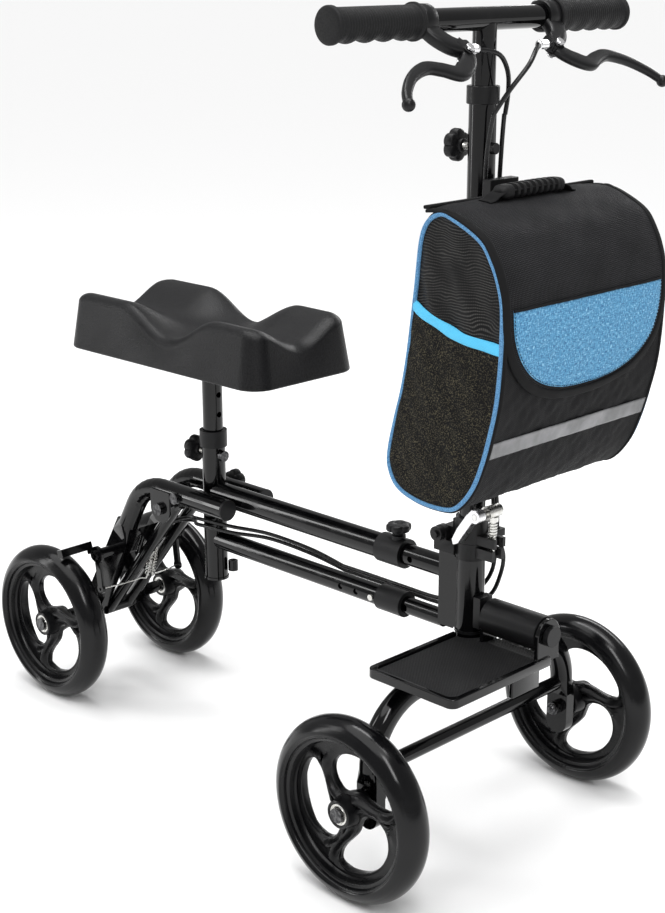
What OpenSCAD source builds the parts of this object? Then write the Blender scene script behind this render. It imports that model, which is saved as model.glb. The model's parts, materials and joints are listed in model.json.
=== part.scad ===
// Knee scooter: a four-wheeled frame with a padded knee rest, a folding
// steering column, hand brakes on the rear wheels, a swing-up footrest and a bag.
// +X points forward, +Y to the rider's left, +Z up. Millimetres.

/* [Layout] */
// Distance from the middle of the scooter forward to the steering axis
col_x = 288.5; // [280:0.5:300]
// Fore-and-aft position of the seat post, from the steering axis
seat_x = -405; // [-415:1:-395]
// Fore-and-aft position of the rear axle, from the steering axis
rear_x = -616; // [-630:1:-600]
// Fore-and-aft position of the front axle, from the steering axis
front_x = 7; // [0:1:14]
// Half of the front track
front_track = 187; // [184:1:195]
// Half of the rear track
rear_track = 97; // [95:1:105]

/* [Wheels] */
// Outside radius of every wheel
wheel_r = 100; // [98:1:102]
// Radius of the tyre's round section
tyre_section = 20.5; // [19:0.5:21]
// Radius of the seat between tyre and rim
rim_r = 84; // [80:1:86]
// Half width of the rim
rim_half = 18; // [15:1:19]
// Radius of the hub
hub_r = 17; // [15:1:20]

/* [Main tubes] */
// Height of the upper main tube
upper_z = 300; // [296:1:304]
// Height of the lower main tube
lower_z = 241; // [238:1:244]
// Outside radius of the upper main tube
upper_r = 14; // [13:0.5:15]
// Outside radius of the lower main tube
lower_r = 11.5; // [11:0.5:13]
// Where both outer tubes end at the front
outer_end = -112; // [-120:1:-105]

/* [Rear frame] */
// Height of the two side tubes
side_z = 296; // [292:1:300]
// Distance of each side tube from the middle
side_y = 30; // [28:1:32]
// Outside radius of the side tubes
side_r = 12.5; // [11:0.5:13]
// Bend radius of the side tubes' centreline
side_bend = 62; // [55:1:70]
// How far the side tubes bend down
side_turn = 59.5; // [55:0.5:65]

/* [Seat] */
// Height of the underside of the knee pad
pad_z = 465; // [455:1:475]
// Length of the knee pad
pad_len = 340; // [320:1:345]
// Half width of the knee pad
pad_half = 82; // [76:1:84]
// Radius of the seat post
post_r = 12; // [11:0.5:12]

/* [Steering column] */
// Height of the handlebar's centreline
bar_z = 859; // [850:1:870]
// Half length of the handlebar tube
bar_half = 206; // [195:1:215]
// Radius of the handlebar tube
bar_r = 11; // [10:0.5:12]
// Radius of the column tube
column_r = 13.5; // [13:0.5:14]
// Height of the top of the column tube
column_top = 790; // [780:1:800]
// How far the brake levers slope down in front of the handlebar
lever_slope = 40; // [30:1:50]

/* [Bag] */
// Half width of the bag
bag_half = 125; // [115:1:127]
// Wall thickness of the bag
bag_wall = 4; // [3:0.5:6]

/* [Hidden] */
$fn = 48;
axle_z = wheel_r;
clamp_x = seat_x - 22;
clamp_z = 296;
bearing_r = 11;
pivot_x = -561;
pivot_z = 195;
fold_x = -27;
fold_z = 345;
latch_x = 28;
rest_z = 262;
brace_top = [-455, 0, 277];
brace_foot = [-604, 0, 98];
side_start = -350;
side_arc_x = -466;
side_foot = [side_arc_x - side_bend * sin(side_turn), side_z - side_bend * (1 - cos(side_turn))];
side_dir = [-cos(side_turn), -sin(side_turn)];
// Closed side outline of the bag, forward position and height.
bag_outline = [
    [37, 680], [28, 623], [14, 535], [4, 494], [-3, 463], [-3, 443], [9, 425], [36, 416],
    [68, 415], [86, 421], [104, 442], [116, 469], [125, 499], [132, 529], [135, 557],
    [136, 589], [135, 621], [130, 642], [121, 661], [107, 679], [77, 694], [56, 698]
];
flap_outline = [
    [40, 700], [56, 701], [78, 697], [109, 682], [124, 663], [133, 643], [137.8, 622], [139, 589],
    [138, 557], [134.6, 526], [132.6, 526], [135.6, 557], [136.6, 589], [135.6, 621],
    [130.6, 642.2], [121.6, 661.4], [107.4, 679.5], [77.2, 694.6], [56, 698.5], [40, 697.5]
];
// Brake cables: stretches from the levers down and back to the rear brakes.
upper_right = [[27.8, -49, 833], [32, -38, 833], [36, -20, 828], [31, -2, 812], [20, 13, 792], [13, 18, 771]];
upper_left = [[27.8, 49, 833], [36, 34, 832], [43, 14, 818], [36, -4, 796], [24, -13, 773]];
column_right = [[12, 18, 769], [9, 19, 740], [6, 20, 680], [5, 20, 560], [5, 20, 450], [8, 23, 390],
    [9, 25, 341]];
column_left = [[22, -13, 771], [17, -12, 740], [14, -11, 690], [14, -10, 580], [16.8, 0, 520],
    [15, 10, 470], [14, 18, 410], [16, 21, 370], [16, 22, 341]];
head_right = [[9, 25, 340], [10, 27, 322], [8, 25, 300], [-4, 23, 280], [-25, 18, 264],
    [-55, 13.5, 255], [-110, 13.5, 254], [-170, 13.5, 254], [-200, 13, 254]];
head_left = [[16, 22, 340], [22, 26, 322], [20, 25, 300], [6, 26, 272], [-20, 21, 256],
    [-55, 17.5, 248], [-110, 17.5, 247.5], [-170, 17.5, 247.5], [-200, 17, 247.5]];
rear_right = [[-201, 13, 254], [-250, 11, 262], [-310, 0, 269], [-360, -13, 269], [-405, -18.5, 268],
    [-428, -13, 264], [-448, -4.2, 258], [-480, -4, 246], [-510, -4, 231]];
rear_left = [[-201, 17, 247.5], [-250, 14, 255], [-310, 3, 262], [-360, -13, 261.5],
    [-405, -18.5, 260.5], [-428, -11, 256], [-448, 2.5, 252], [-480, 4, 244], [-510, 4, 231]];

// Cylinder between two points.
module rod(p, q, r) {
    v = q - p;
    translate(p)
        rotate([0, acos(v[2] / norm(v)), atan2(v[1], v[0])])
            cylinder(h = norm(v), r = r);
}

module zcyl(x, y, z0, z1, r) {
    translate([x, y, z0])
        cylinder(h = z1 - z0, r = r);
}

module ycyl(x, z, y0, y1, r) {
    translate([x, y0, z])
        rotate([-90, 0, 0])
            cylinder(h = y1 - y0, r = r);
}

module xcyl(x0, x1, y, z, r) {
    translate([x0, y, z])
        rotate([0, 90, 0])
            cylinder(h = x1 - x0, r = r);
}

module box(low, high) {
    translate(low)
        cube(high - low);
}

// Round-lobed clamp knob with its screw, standing on its base plane.
module star_knob(r, h, screw_r, screw_len) {
    union() {
        cylinder(h = h, r = r * 0.74);
        for (k = [0 : 5])
            rotate(60 * k)
                translate([r * 0.7, 0, 1])
                    cylinder(h = h - 2, r = r * 0.3);
        translate([0, 0, -4])
            cylinder(h = 5, r = r * 0.42);
        translate([0, 0, -screw_len])
            cylinder(h = screw_len + 1, r = screw_r);
    }
}

function unit(v) = v / norm(v);
function bend(a, b, c, d, t) = 0.5 * (2 * b + (c - a) * t + (2 * a - 5 * b + 4 * c - d) * t * t
    + (3 * b - a - 3 * c + d) * t * t * t);
function at(p, i) = p[max(0, min(len(p) - 1, i))];
// Smooth run of points through a route, about one for each step of length.
function smooth(p, step) = [
    for (i = [0 : len(p) - 2])
        let (n = max(1, ceil(norm(p[i + 1] - p[i]) / step)))
            for (k = [0 : n - 1])
                bend(at(p, i - 1), p[i], p[i + 1], at(p, i + 2), k / n),
    p[len(p) - 1]
];
function heading(p, i) = unit(at(p, i + 1) - at(p, i - 1));
// Sideways direction at each point, carried along without twist.
function sides(p) = [
    for (i = 0, s = unit(cross(heading(p, 0), [0.3, 0.4, 0.9])); i < len(p);
        i = i + 1, s = unit(s - (s * heading(p, i)) * heading(p, i)))
        s
];

// Round cord along a list of points, eight-sided.
module sweep(p, r, n = 8) {
    s = sides(p);
    rings = len(p);
    points = [
        for (i = [0 : rings - 1])
            let (up = cross(heading(p, i), s[i]))
                for (k = [0 : n - 1])
                    p[i] + r * (cos(360 * k / n) * s[i] + sin(360 * k / n) * up)
    ];
    faces = [
        [for (k = [0 : n - 1]) n - 1 - k],
        for (i = [0 : rings - 2])
            for (k = [0 : n - 1])
                [i * n + k, i * n + (k + 1) % n, (i + 1) * n + (k + 1) % n],
        for (i = [0 : rings - 2])
            for (k = [0 : n - 1])
                [i * n + k, (i + 1) * n + (k + 1) % n, (i + 1) * n + k],
        [for (k = [0 : n - 1]) (rings - 1) * n + k]
    ];
    polyhedron(points = points, faces = faces, convexity = 6);
}

module cord(route, r = 2.3) {
    sweep(smooth(route, 11), r);
}

// Main frame --------------------------------------------------------------

module main_tube_upper() {
    color("silver")
        difference() {
            xcyl(seat_x + 7, outer_end, 0, upper_z, upper_r);
            xcyl(seat_x + 6, outer_end + 1, 0, upper_z, 12.3);
            zcyl(seat_x, 0, upper_z - 20, upper_z + 20, 14);
        }
}

module main_tube_lower() {
    color("silver")
        difference() {
            xcyl(seat_x + 9, outer_end, 0, lower_z, lower_r);
            xcyl(seat_x + 8, outer_end + 1, 0, lower_z, 10.1);
            zcyl(seat_x, 0, lower_z - 20, lower_z + 20, 14);
            ycyl(-133, lower_z, -20, 0, 3.55);
            for (x = [-157, -181])
                ycyl(x, lower_z, -20, 0, 3.5);
        }
}

module seat_tube() {
    color("silver")
        difference() {
            union() {
                zcyl(seat_x, 0, 190, 372, 14);
                translate([seat_x, 0, 190])
                    cylinder(h = 3, r = 15);
            }
            zcyl(seat_x, 0, 192, 373, 12.6);
            xcyl(seat_x - 20, seat_x + 20, 0, 348, 3.55);
        }
}

// The round part of one side tube, for either its outside or its bore.
module side_run(y, r) {
    xcyl(side_arc_x - 0.5, side_start, y, side_z, r);
    translate([side_arc_x, y, side_z - side_bend])
        rotate([90, 0, 0])
            rotate([0, 0, 90])
                rotate_extrude(angle = side_turn)
                    translate([side_bend, 0])
                        circle(r = r);
    rod([side_foot[0] - 1 * side_dir[0], y, side_foot[1] - 1 * side_dir[1]],
        [side_foot[0] + 34 * side_dir[0], y, side_foot[1] + 34 * side_dir[1]], r);
}

module side_tube(y) {
    color("silver")
        difference() {
            union() {
                side_run(y, side_r);
                translate([side_foot[0], y, side_foot[1]])
                    rotate([0, 90 - side_turn, 0])
                        union() {
                            translate([-15, -6.5, -192])
                                cube([30, 13, 156]);
                            translate([0, 6.5, -192])
                                rotate([90, 0, 0])
                                    cylinder(h = 13, r = 15);
                            hull() {
                                translate([0, 0, -34])
                                    cylinder(h = 1, r = side_r, $fn = 32);
                                translate([-15, -6.5, -58])
                                    cube([30, 13, 1]);
                            }
                        }
            }
            side_run(y, 11);
            xcyl(side_start - 1, side_start + 1, y, side_z, 11);
            ycyl(clamp_x, clamp_z, y - 20, y + 20, 3.55);
            ycyl(-455, 277, y - 20, y + 20, 4.1);
            ycyl(rear_x, axle_z, y - 20, y + 20, 8);
        }
}

module rear_axle_tube() {
    color("silver")
        difference() {
            ycyl(rear_x, axle_z, -72, 72, 8);
            ycyl(rear_x, axle_z, -73, 73, 4.05);
        }
}

module rear_brace() {
    color("silver")
        difference() {
            union() {
                for (y = [-15.5, 15.5]) {
                    rod([brace_top[0], y, brace_top[2]], [brace_foot[0], y, brace_foot[2]], 7.5);
                    ycyl(brace_top[0], brace_top[2], y - 6, y + 6, 8.5);
                }
                ycyl(brace_foot[0], brace_foot[2], -22.9, 22.9, 7.7);
            }
            ycyl(rear_x, axle_z, -40, 40, 8);
            ycyl(brace_top[0], brace_top[2], -30, 30, 4.1);
        }
}

module frame_brackets() {
    color("silver")
        for (s = [-1, 1]) {
            // Saddle block between side tube and seat tube.
            difference() {
                box([seat_x - 13, s > 0 ? 6 : -24, 290], [seat_x + 17, s > 0 ? 24 : -6, 302]);
                zcyl(seat_x, 0, 280, 310, 14);
                xcyl(seat_x - 30, seat_x + 30, s * side_y, side_z, side_r);
                xcyl(seat_x - 30, seat_x + 30, 0, upper_z, upper_r);
            }
            // Plate hanging beside each side tube, with the brace's bolt.
            difference() {
                union() {
                    box([-473, s > 0 ? 42.5 : -45, 277], [-437, s > 0 ? 45 : -42.5, 300]);
                    ycyl(-455, 277, s > 0 ? 42.5 : -45, s > 0 ? 45 : -42.5, 18);
                }
                ycyl(-455, 277, -50, 50, 4.1);
            }
            // Brake pivot boss on the outside of the side tube.
            ycyl(pivot_x, pivot_z, s > 0 ? 36.5 : -60, s > 0 ? 60 : -36.5, 7);
        }
    color("silver")
        box([-583, -23.5, 154], [-578, 23.5, 176]);
    color("silver")
        difference() {
            zcyl(seat_x + 17, 12, 200, 213, 6);
            zcyl(seat_x, 0, 190, 220, 14);
            zcyl(seat_x + 17, 12, 190, 220, 3);
        }
}

module frame_collars() {
    color("silver") {
        difference() {
            union() {
                xcyl(-126, -90, 0, upper_z, 16.5);
                zcyl(-103, 0, upper_z + 10, upper_z + 19, 8);
            }
            xcyl(-127, outer_end, 0, upper_z, upper_r);
            xcyl(-127, -89, 0, upper_z, 11.8);
            zcyl(-103, 0, upper_z, upper_z + 30, 3.05);
        }
        difference() {
            xcyl(-126, -90, 0, lower_z, 14.5);
            xcyl(-127, outer_end, 0, lower_z, lower_r);
            xcyl(-127, -89, 0, lower_z, 9.55);
        }
        difference() {
            zcyl(seat_x, 0, 358, 378, 16.5);
            zcyl(seat_x, 0, 357, 372, 14);
            zcyl(seat_x, 0, 357, 379, 12.05);
        }
    }
}

module end_caps() {
    color("black")
        for (y = [-side_y, side_y]) {
            xcyl(side_start, side_start + 3, y, side_z, side_r);
            xcyl(side_start - 12, side_start + 1, y, side_z, 10.9);
        }
}

module frame_bolts() {
    color("silver") {
        // Through bolt of the rear brace, with its nut.
        ycyl(-455, 277, -47, 47, 4);
        ycyl(-455, 277, -50, -45.2, 7.5);
        ycyl(-455, 277, 45.2, 50, 7.5);
        // Head of the frame clamp on the near side.
        ycyl(clamp_x, clamp_z, -47, -42.2, 7);
        ycyl(clamp_x, clamp_z, -43, -16, 3.4);
        // Head of the seat clamp in front of the seat tube.
        xcyl(seat_x + 14.4, seat_x + 20, 0, 348, 6.5);
        xcyl(seat_x + 12.8, seat_x + 15, 0, 348, 3.4);
        // Pivot bolts of the two brake arms.
        for (s = [-1, 1]) {
            ycyl(pivot_x, pivot_z, s > 0 ? 60 : -66, s > 0 ? 66 : -60, 4);
            ycyl(pivot_x, pivot_z, s > 0 ? 65.4 : -69, s > 0 ? 69 : -65.4, 6.5);
        }
    }
}

module rear_axle_hardware() {
    color("silver")
        union() {
            ycyl(rear_x, axle_z, -rear_track - 17, rear_track + 17, 4);
            for (s = [-1, 1]) {
                ycyl(rear_x, axle_z, s > 0 ? rear_track + 16 : -rear_track - 21,
                    s > 0 ? rear_track + 21 : -rear_track - 16, 8);
                ycyl(rear_x, axle_z, s > 0 ? rear_track - 16 : -rear_track + 8.5,
                    s > 0 ? rear_track - 8.5 : -rear_track + 16, bearing_r);
                ycyl(rear_x, axle_z, s > 0 ? rear_track + 8.5 : -rear_track - 16,
                    s > 0 ? rear_track + 16 : -rear_track - 8.5, bearing_r);
                ycyl(rear_x, axle_z, s > 0 ? 72.2 : -rear_track + 15.8,
                    s > 0 ? rear_track - 15.8 : -72.2, 7);
            }
        }
}

// One rim: outer band, three broad curved spokes and a hub.
module rim(x, y) {
    translate([x, y, axle_z])
        rotate([90, 0, 0])
            color("dimgray")
                difference() {
                    union() {
                        difference() {
                            cylinder(h = 2 * rim_half, r = rim_r, center = true);
                            cylinder(h = 2 * rim_half + 2, r = 74, center = true);
                        }
                        cylinder(h = 2 * rim_half, r = hub_r, center = true);
                        difference() {
                            cylinder(h = 10, r = 75, center = true);
                            for (k = [0 : 2])
                                rotate(120 * k)
                                    union() {
                                        translate([46, 0, 0])
                                            cylinder(h = 12, r = 22, center = true);
                                        rotate(38)
                                            translate([52, 0, 0])
                                                cylinder(h = 12, r = 16, center = true);
                                    }
                        }
                    }
                    cylinder(h = 2 * rim_half + 2, r = bearing_r + 0.05, center = true);
                }
}

module tyre(x, y) {
    translate([x, y, axle_z])
        rotate([90, 0, 0])
            color("black")
                rotate_extrude()
                    intersection() {
                        translate([wheel_r - tyre_section, 0])
                            circle(r = tyre_section);
                        translate([rim_r, -30])
                            square([40, 60]);
                    }
}

module cable_stops() {
    color("silver")
        difference() {
            union() {
                // Plate between the brace arms that both cables end on.
                translate([-517, 0, 222])
                    rotate([0, 35, 0])
                        cube([22, 46, 4], center = true);
                for (y = [-4, 4])
                    translate([-517, y, 222])
                        rotate([0, 35, 0])
                            cylinder(h = 14, r = 3.2, center = true);
                for (y = [-21, 21])
                    rod([-519, y, 221], [-531, y, 196], 3);
            }
            for (y = [-15.5, 15.5])
                rod([brace_top[0], y, brace_top[2]], [brace_foot[0], y, brace_foot[2]], 7.5);
            for (s = [-1, 1])
                translate([0, s * (side_y - 6.5 + 10), 0])
                    cube([2000, 20, 2000], center = true);
        }
}

// Return spring and inner wire of each rear brake.
module brake_returns() {
    color("silver")
        for (s = [-1, 1]) {
            spring = [
                for (i = [0 : 72])
                    [-522 - 14 * i / 72 + 2.9 * cos(60 * i), s * 4 + 2.9 * sin(60 * i),
                        211 - 51 * i / 72 - 0.8 * cos(60 * i)]
            ];
            sweep(spring, 0.5, 6);
            sweep([[-521, s * 4, 213], [-536, s * 4, 159], [-539, s * 12, 156], [-548, s * 38, 152],
                [-556, s * 60, 150]], 0.8, 6);
        }
}

module brake_cables_rear() {
    color("black") {
        cord(rear_right);
        cord(rear_left);
    }
}

// One brake arm with the shoe bar that presses on the tyre.
module brake_arm(s) {
    y0 = s > 0 ? 61 : -65;
    y1 = s > 0 ? 65 : -61;
    color("silver")
        difference() {
            union() {
                ycyl(pivot_x, pivot_z, y0, y1, 11);
                ycyl(pivot_x + 5, pivot_z - 45, y0, y1, 6);
                translate([pivot_x, y0, pivot_z])
                    rotate([0, -6.3, 0])
                        translate([-4.6, 0, -45])
                            cube([9.2, 4, 45]);
                translate([-578.6, s > 0 ? 61 : -108, 202.7])
                    rotate([0, -20, 0])
                        translate([-5, 0, -5])
                            cube([10, 47, 10]);
                translate([-569.8, y0, 198.9])
                    rotate([0, -20, 0])
                        translate([-11, 0.3, -4])
                            cube([22, 3.4, 8]);
            }
            ycyl(pivot_x, pivot_z, -120, 120, 4.05);
            ycyl(pivot_x + 5, pivot_z - 45, -120, 120, 2);
        }
}

module snap_button() {
    color("silver")
        ycyl(-133, lower_z, -13.5, -9.9, 3.5);
}

module length_knob() {
    color("black")
        translate([-103, 0, upper_z + 23.5])
            star_knob(14.2, 9, 3, 11.2);
}

module frame_knob() {
    color("black")
        translate([clamp_x, 46.8, clamp_z])
            rotate([-90, 0, 0])
                star_knob(16, 12, 3.5, 31);
}

module seat_knob() {
    color("black")
        translate([seat_x - 27, 0, 348])
            rotate([0, -90, 0])
                star_knob(16.5, 12, 3.5, 14.4);
}

// Front frame ---------------------------------------------------------------

module inner_tube_upper() {
    color("black")
        difference() {
            xcyl(-240, -34, 0, upper_z, 11.75);
            xcyl(-241, -36, 0, upper_z, 10.2);
            ycyl(-76, upper_z, -20, 0, 3.5);
        }
}

module inner_tube_lower() {
    color("black")
        difference() {
            xcyl(-240, -34, 0, lower_z, 9.5);
            xcyl(-241, -36, 0, lower_z, 7.9);
            for (x = [-133, -109, -85])
                ycyl(x, lower_z, -20, 0, 3.85);
        }
}

module head_tube() {
    color("silver")
        difference() {
            union() {
                zcyl(0, 0, 241, 320, 15);
                box([-34, -12, 239], [0, 12, 322]);
            }
            zcyl(0, 0, 238, 330, 13.4);
            difference() {
                zcyl(0, 0, 230, 241, 17);
                zcyl(0, 0, 230, 241, 5);
            }
            zcyl(0, 0, 230, 241, 17);
            zcyl(0, 0, 320, 330, 17);
        }
}

module head_bushes() {
    color("black")
        for (z = [238, 320])
            difference() {
                union() {
                    zcyl(0, 0, z, z + 3, 16);
                    zcyl(0, 0, z == 238 ? 240 : 308, z == 238 ? 253 : 321, 13.4);
                }
                zcyl(0, 0, 230, 330, 12.05);
            }
}

module footrest_barrel() {
    color("black") {
        difference() {
            union() {
                xcyl(28.8, 100, 0, rest_z, 19);
                xcyl(20, 30, 0, rest_z, 8);
                box([13, -10, 247], [22, 10, 281]);
            }
            zcyl(0, 0, 240, 290, 15);
        }
        xcyl(99, 107, 0, rest_z, 8);
        xcyl(106, 112, 0, rest_z, 11);
    }
}

module brake_cables_head() {
    color("black") {
        cord(head_right);
        cord(head_left);
    }
}

// Footrest ------------------------------------------------------------------

module footplate() {
    color("silver")
        difference() {
            union() {
                box([-2, -144, 229], [102, 8, 233]);
                box([-8, -150, 229], [-2, 2, 239]);
                box([102, -150, 229], [108, 2, 239]);
                box([-8, -150, 229], [108, -144, 239]);
                box([100.4, -17.5, 233], [105.4, 8, 239]);
                box([100.4, -17.5, 233], [105.4, 17.5, rest_z]);
                xcyl(100.4, 105.4, 0, rest_z, 17.5);
                box([24.4, -12, 231], [28.4, 12, rest_z]);
                xcyl(24.4, 28.4, 0, rest_z, 14);
                box([98, -53, 208], [103, -10, 231]);
            }
            zcyl(0, 0, 200, 290, 18);
            xcyl(20, 120, 0, rest_z, 8.1);
            xcyl(28.4, 100.4, 0, rest_z, 19.6);
        }
}

module footplate_mat() {
    color("dimgray")
        difference() {
            box([-1.5, -143.5, 233], [101.5, 8, 236]);
            zcyl(0, 0, 200, 290, 18.5);
            box([24, -13, 225], [29, 13, 240]);
            box([100, -18, 225], [110, 20, 240]);
            xcyl(28.4, 100.4, 0, rest_z, 28);
        }
}

// Steering ------------------------------------------------------------------

module steerer_tube() {
    color("silver")
        difference() {
            union() {
                zcyl(0, 0, 207, 338, 12);
                zcyl(0, 0, 229.5, 237.7, 15.5);
            }
            zcyl(0, 0, 206, 339, 10);
            ycyl(front_x, 203, -20, 20, 12.5);
        }
}

// Arch over both front wheels; the legs are pressed flat at the axle.
module arch_run(r) {
    ycyl(front_x, 203, -87, 87, r);
    for (s = [0, 1])
        mirror([0, s, 0])
            translate([front_x, 87, 133])
                rotate([0, 90, 0])
                    rotate([0, 0, 90])
                        rotate_extrude(angle = 90)
                            translate([70, 0])
                                circle(r = r);
}

module front_arch() {
    color("silver")
        difference() {
            union() {
                arch_run(12.5);
                for (s = [-1, 1]) {
                    box([front_x - 14, s * 157 - 6.5, 82], [front_x + 14, s * 157 + 6.5, 118]);
                    ycyl(front_x, 82, s * 157 - 6.5, s * 157 + 6.5, 14);
                    hull() {
                        zcyl(front_x, s * 157, 133, 134, 12.5, $fn = 32);
                        box([front_x - 14, s * 157 - 6.5, 116], [front_x + 14, s * 157 + 6.5, 117]);
                    }
                }
            }
            arch_run(11);
            for (s = [-1, 1])
                ycyl(front_x, axle_z, s * 157 - 10, s * 157 + 10, 5);
        }
}

module front_cross_tube() {
    color("silver")
        ycyl(front_x, 131, -146, 146, 8);
}

module head_casting() {
    color("silver")
        difference() {
            union() {
                zcyl(0, 0, 323.3, 338.7, 17);
                box([14, -10, 325], [36, 10, 336]);
                for (s = [-1, 1]) {
                    box([fold_x - 8.5, s > 0 ? 12 : -19, 325], [-8, s > 0 ? 19 : -12, 338.5]);
                    box([fold_x - 8.5, s > 0 ? 12 : -19, 330], [fold_x + 8.5, s > 0 ? 19 : -12, fold_z]);
                    ycyl(fold_x, fold_z, s > 0 ? 12 : -19, s > 0 ? 19 : -12, 8.5);
                }
                box([fold_x - 8.5, -19, 325], [-8, 19, 334]);
                ycyl(fold_x, fold_z, -29, 22, 4);
                ycyl(fold_x, fold_z, -26, -19, 8);
                ycyl(fold_x, fold_z, 19, 23, 7);
            }
            zcyl(0, 0, 320, 340, 12);
            box([latch_x - 4.8, -4.8, 320], [40, 4.8, 340]);
        }
}

module front_axle_hardware() {
    color("silver")
        for (s = [-1, 1])
            union() {
                ycyl(front_x, axle_z, s > 0 ? 146 : -front_track - 17, s > 0 ? front_track + 17 : -146, 4);
                ycyl(front_x, axle_z, s > 0 ? front_track + 16 : -front_track - 21,
                    s > 0 ? front_track + 21 : -front_track - 16, 8);
                ycyl(front_x, axle_z, s > 0 ? front_track - 16 : -front_track + 8.5,
                    s > 0 ? front_track - 8.5 : -front_track + 16, bearing_r);
                ycyl(front_x, axle_z, s > 0 ? front_track + 8.5 : -front_track - 16,
                    s > 0 ? front_track + 16 : -front_track - 8.5, bearing_r);
                ycyl(front_x, axle_z, s > 0 ? 163.7 : -front_track + 15.8,
                    s > 0 ? front_track - 15.8 : -163.7, 7);
                ycyl(front_x, axle_z, s > 0 ? 142 : -150.3, s > 0 ? 150.3 : -142, 7.5);
                translate([front_x, s * 142, axle_z])
                    sphere(r = 6);
            }
}

// Column --------------------------------------------------------------------

module column_tube() {
    color("black")
        difference() {
            zcyl(0, 0, 352, column_top, column_r);
            zcyl(0, 0, 351, column_top + 1, 12);
            xcyl(-20, 0, 0, 740, 3.55);
            xcyl(0, 20, 0, 740, 3.5);
        }
}

module column_fittings() {
    color("silver") {
        difference() {
            zcyl(0, 0, column_top - 9, column_top + 8, 16);
            zcyl(0, 0, column_top - 10, column_top, column_r);
            zcyl(0, 0, column_top - 10, column_top + 9, 11.65);
        }
        // Head of the column clamp on the front.
        xcyl(13.8, 18.5, 0, 740, 5.5);
        xcyl(12.3, 14, 0, 740, 3.4);
        // Bracket in front of the column that the bag hangs on.
        box([19.6, -21, 696], [30, 21, 713]);
        difference() {
            box([10, -6, 698], [20, 6, 711]);
            zcyl(0, 0, 690, 720, column_r);
        }
    }
}

module fold_casting() {
    color("silver")
        difference() {
            union() {
                zcyl(0, 0, 339, 366, 17);
                box([-16, -11.6, 339], [-8, 11.6, 362]);
                box([fold_x, -11.6, 338.9], [-8, 11.6, 352]);
                ycyl(fold_x, fold_z, -11.6, 11.6, 7);
                box([14, -9, 339], [38, 9, 349]);
                // Guide for the two brake cables.
                box([3, 10, 342], [21, 29, 350]);
            }
            zcyl(0, 0, 352, 370, column_r);
            zcyl(0, 0, 338, 370, 10);
            ycyl(fold_x, fold_z, -30, 30, 4.05);
            box([latch_x - 4.8, -4.8, 330], [45, 4.8, 360]);
            zcyl(9, 25, 330, 360, 2.9);
            zcyl(16, 22, 330, 360, 2.9);
            for (s = [-1, 1])
                ycyl(fold_x, fold_z, s > 0 ? 11.7 : -30, s > 0 ? 30 : -11.7, 9);
        }
}

// Swing bolt of the latch with its barrel nut, spring and cam.
module latch_bolt() {
    color("silver") {
        zcyl(latch_x, 0, 327, 370, 3);
        zcyl(latch_x, 0, 340, 348, 4.5);
        for (z = [350 : 3 : 362])
            zcyl(latch_x, 0, z, z + 1.5, 4.6);
        difference() {
            union() {
                zcyl(latch_x, 0, 366, 371, 5.5);
                ycyl(latch_x, 377, -12, 8, 7);
                ycyl(latch_x, 377, -30, -12, 3);
            }
            xcyl(0, 40, 14, 377, 1);
        }
    }
}

module latch_lever() {
    color("silver")
        difference() {
            union() {
                ycyl(latch_x, 377, -30, -19.6, 7);
                translate([0, -19.6, 0])
                    rotate([90, 0, 0])
                        linear_extrude(10.4)
                            polygon([[34, 380], [24, 384], [17, 377], [5, 360], [-2, 347], [0, 341],
                                [7, 344], [15, 356], [25, 370]]);
            }
            ycyl(latch_x, 377, -31, -17, 3.05);
        }
}

module bag_body() {
    color("dimgray")
        difference() {
            translate([0, bag_half, 0])
                rotate([90, 0, 0])
                    linear_extrude(2 * bag_half)
                        polygon(bag_outline);
            box([-10, -27, 400], [20, 27, 720]);
            // Hollow inside, open at the top.
            difference() {
                translate([0, bag_half - bag_wall, 0])
                    rotate([90, 0, 0])
                        linear_extrude(2 * (bag_half - bag_wall))
                            offset(delta = -bag_wall)
                                polygon(bag_outline);
                box([-10, -27 - bag_wall, 400], [20 + bag_wall, 27 + bag_wall, 720]);
            }
            box([46, 10 - bag_half, 600], [98, bag_half - 10, 720]);
        }
}

module bag_flap() {
    color("black")
        union() {
            translate([0, bag_half - 3, 0])
                rotate([90, 0, 0])
                    linear_extrude(2 * bag_half - 6)
                        polygon(flap_outline);
            // Rolled hem that the flap turns on.
            ycyl(38, 699, 3 - bag_half, bag_half - 3, 2.8);
        }
}

module brake_cables_column() {
    color("black") {
        cord(column_right);
        cord(column_left);
    }
}

module column_knob() {
    color("black")
        translate([-26, 0, 740])
            rotate([0, -90, 0])
                star_knob(16, 12, 3.5, 13.9);
}

// Handlebar -----------------------------------------------------------------

module stem_tube() {
    color("silver")
        difference() {
            zcyl(0, 0, 620, bar_z - 4, 11.6);
            zcyl(0, 0, 619, bar_z + 1, 10);
            ycyl(0, bar_z, -20, 20, bar_r);
        }
}

module handlebar() {
    color("black")
        difference() {
            ycyl(0, bar_z, -bar_half, bar_half, bar_r);
            ycyl(0, bar_z, -bar_half - 1, bar_half + 1, 9.5);
        }
}

module grips() {
    color("black")
        for (s = [0, 1])
            mirror([0, s, 0])
                difference() {
                    union() {
                        ycyl(0, bar_z, 99, 210, 15);
                        ycyl(0, bar_z, 99, 102, 17.5);
                        ycyl(0, bar_z, 206, 210, 17);
                    }
                    ycyl(0, bar_z, 98, bar_half, bar_r);
                }
}

// Lever plane: its X runs forward and down, its Y along the handlebar.
module lever_plane(s) {
    translate([0, 0, bar_z])
        mirror([0, s > 0 ? 0 : 1, 0])
            rotate([0, lever_slope, 0])
                children();
}

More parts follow.
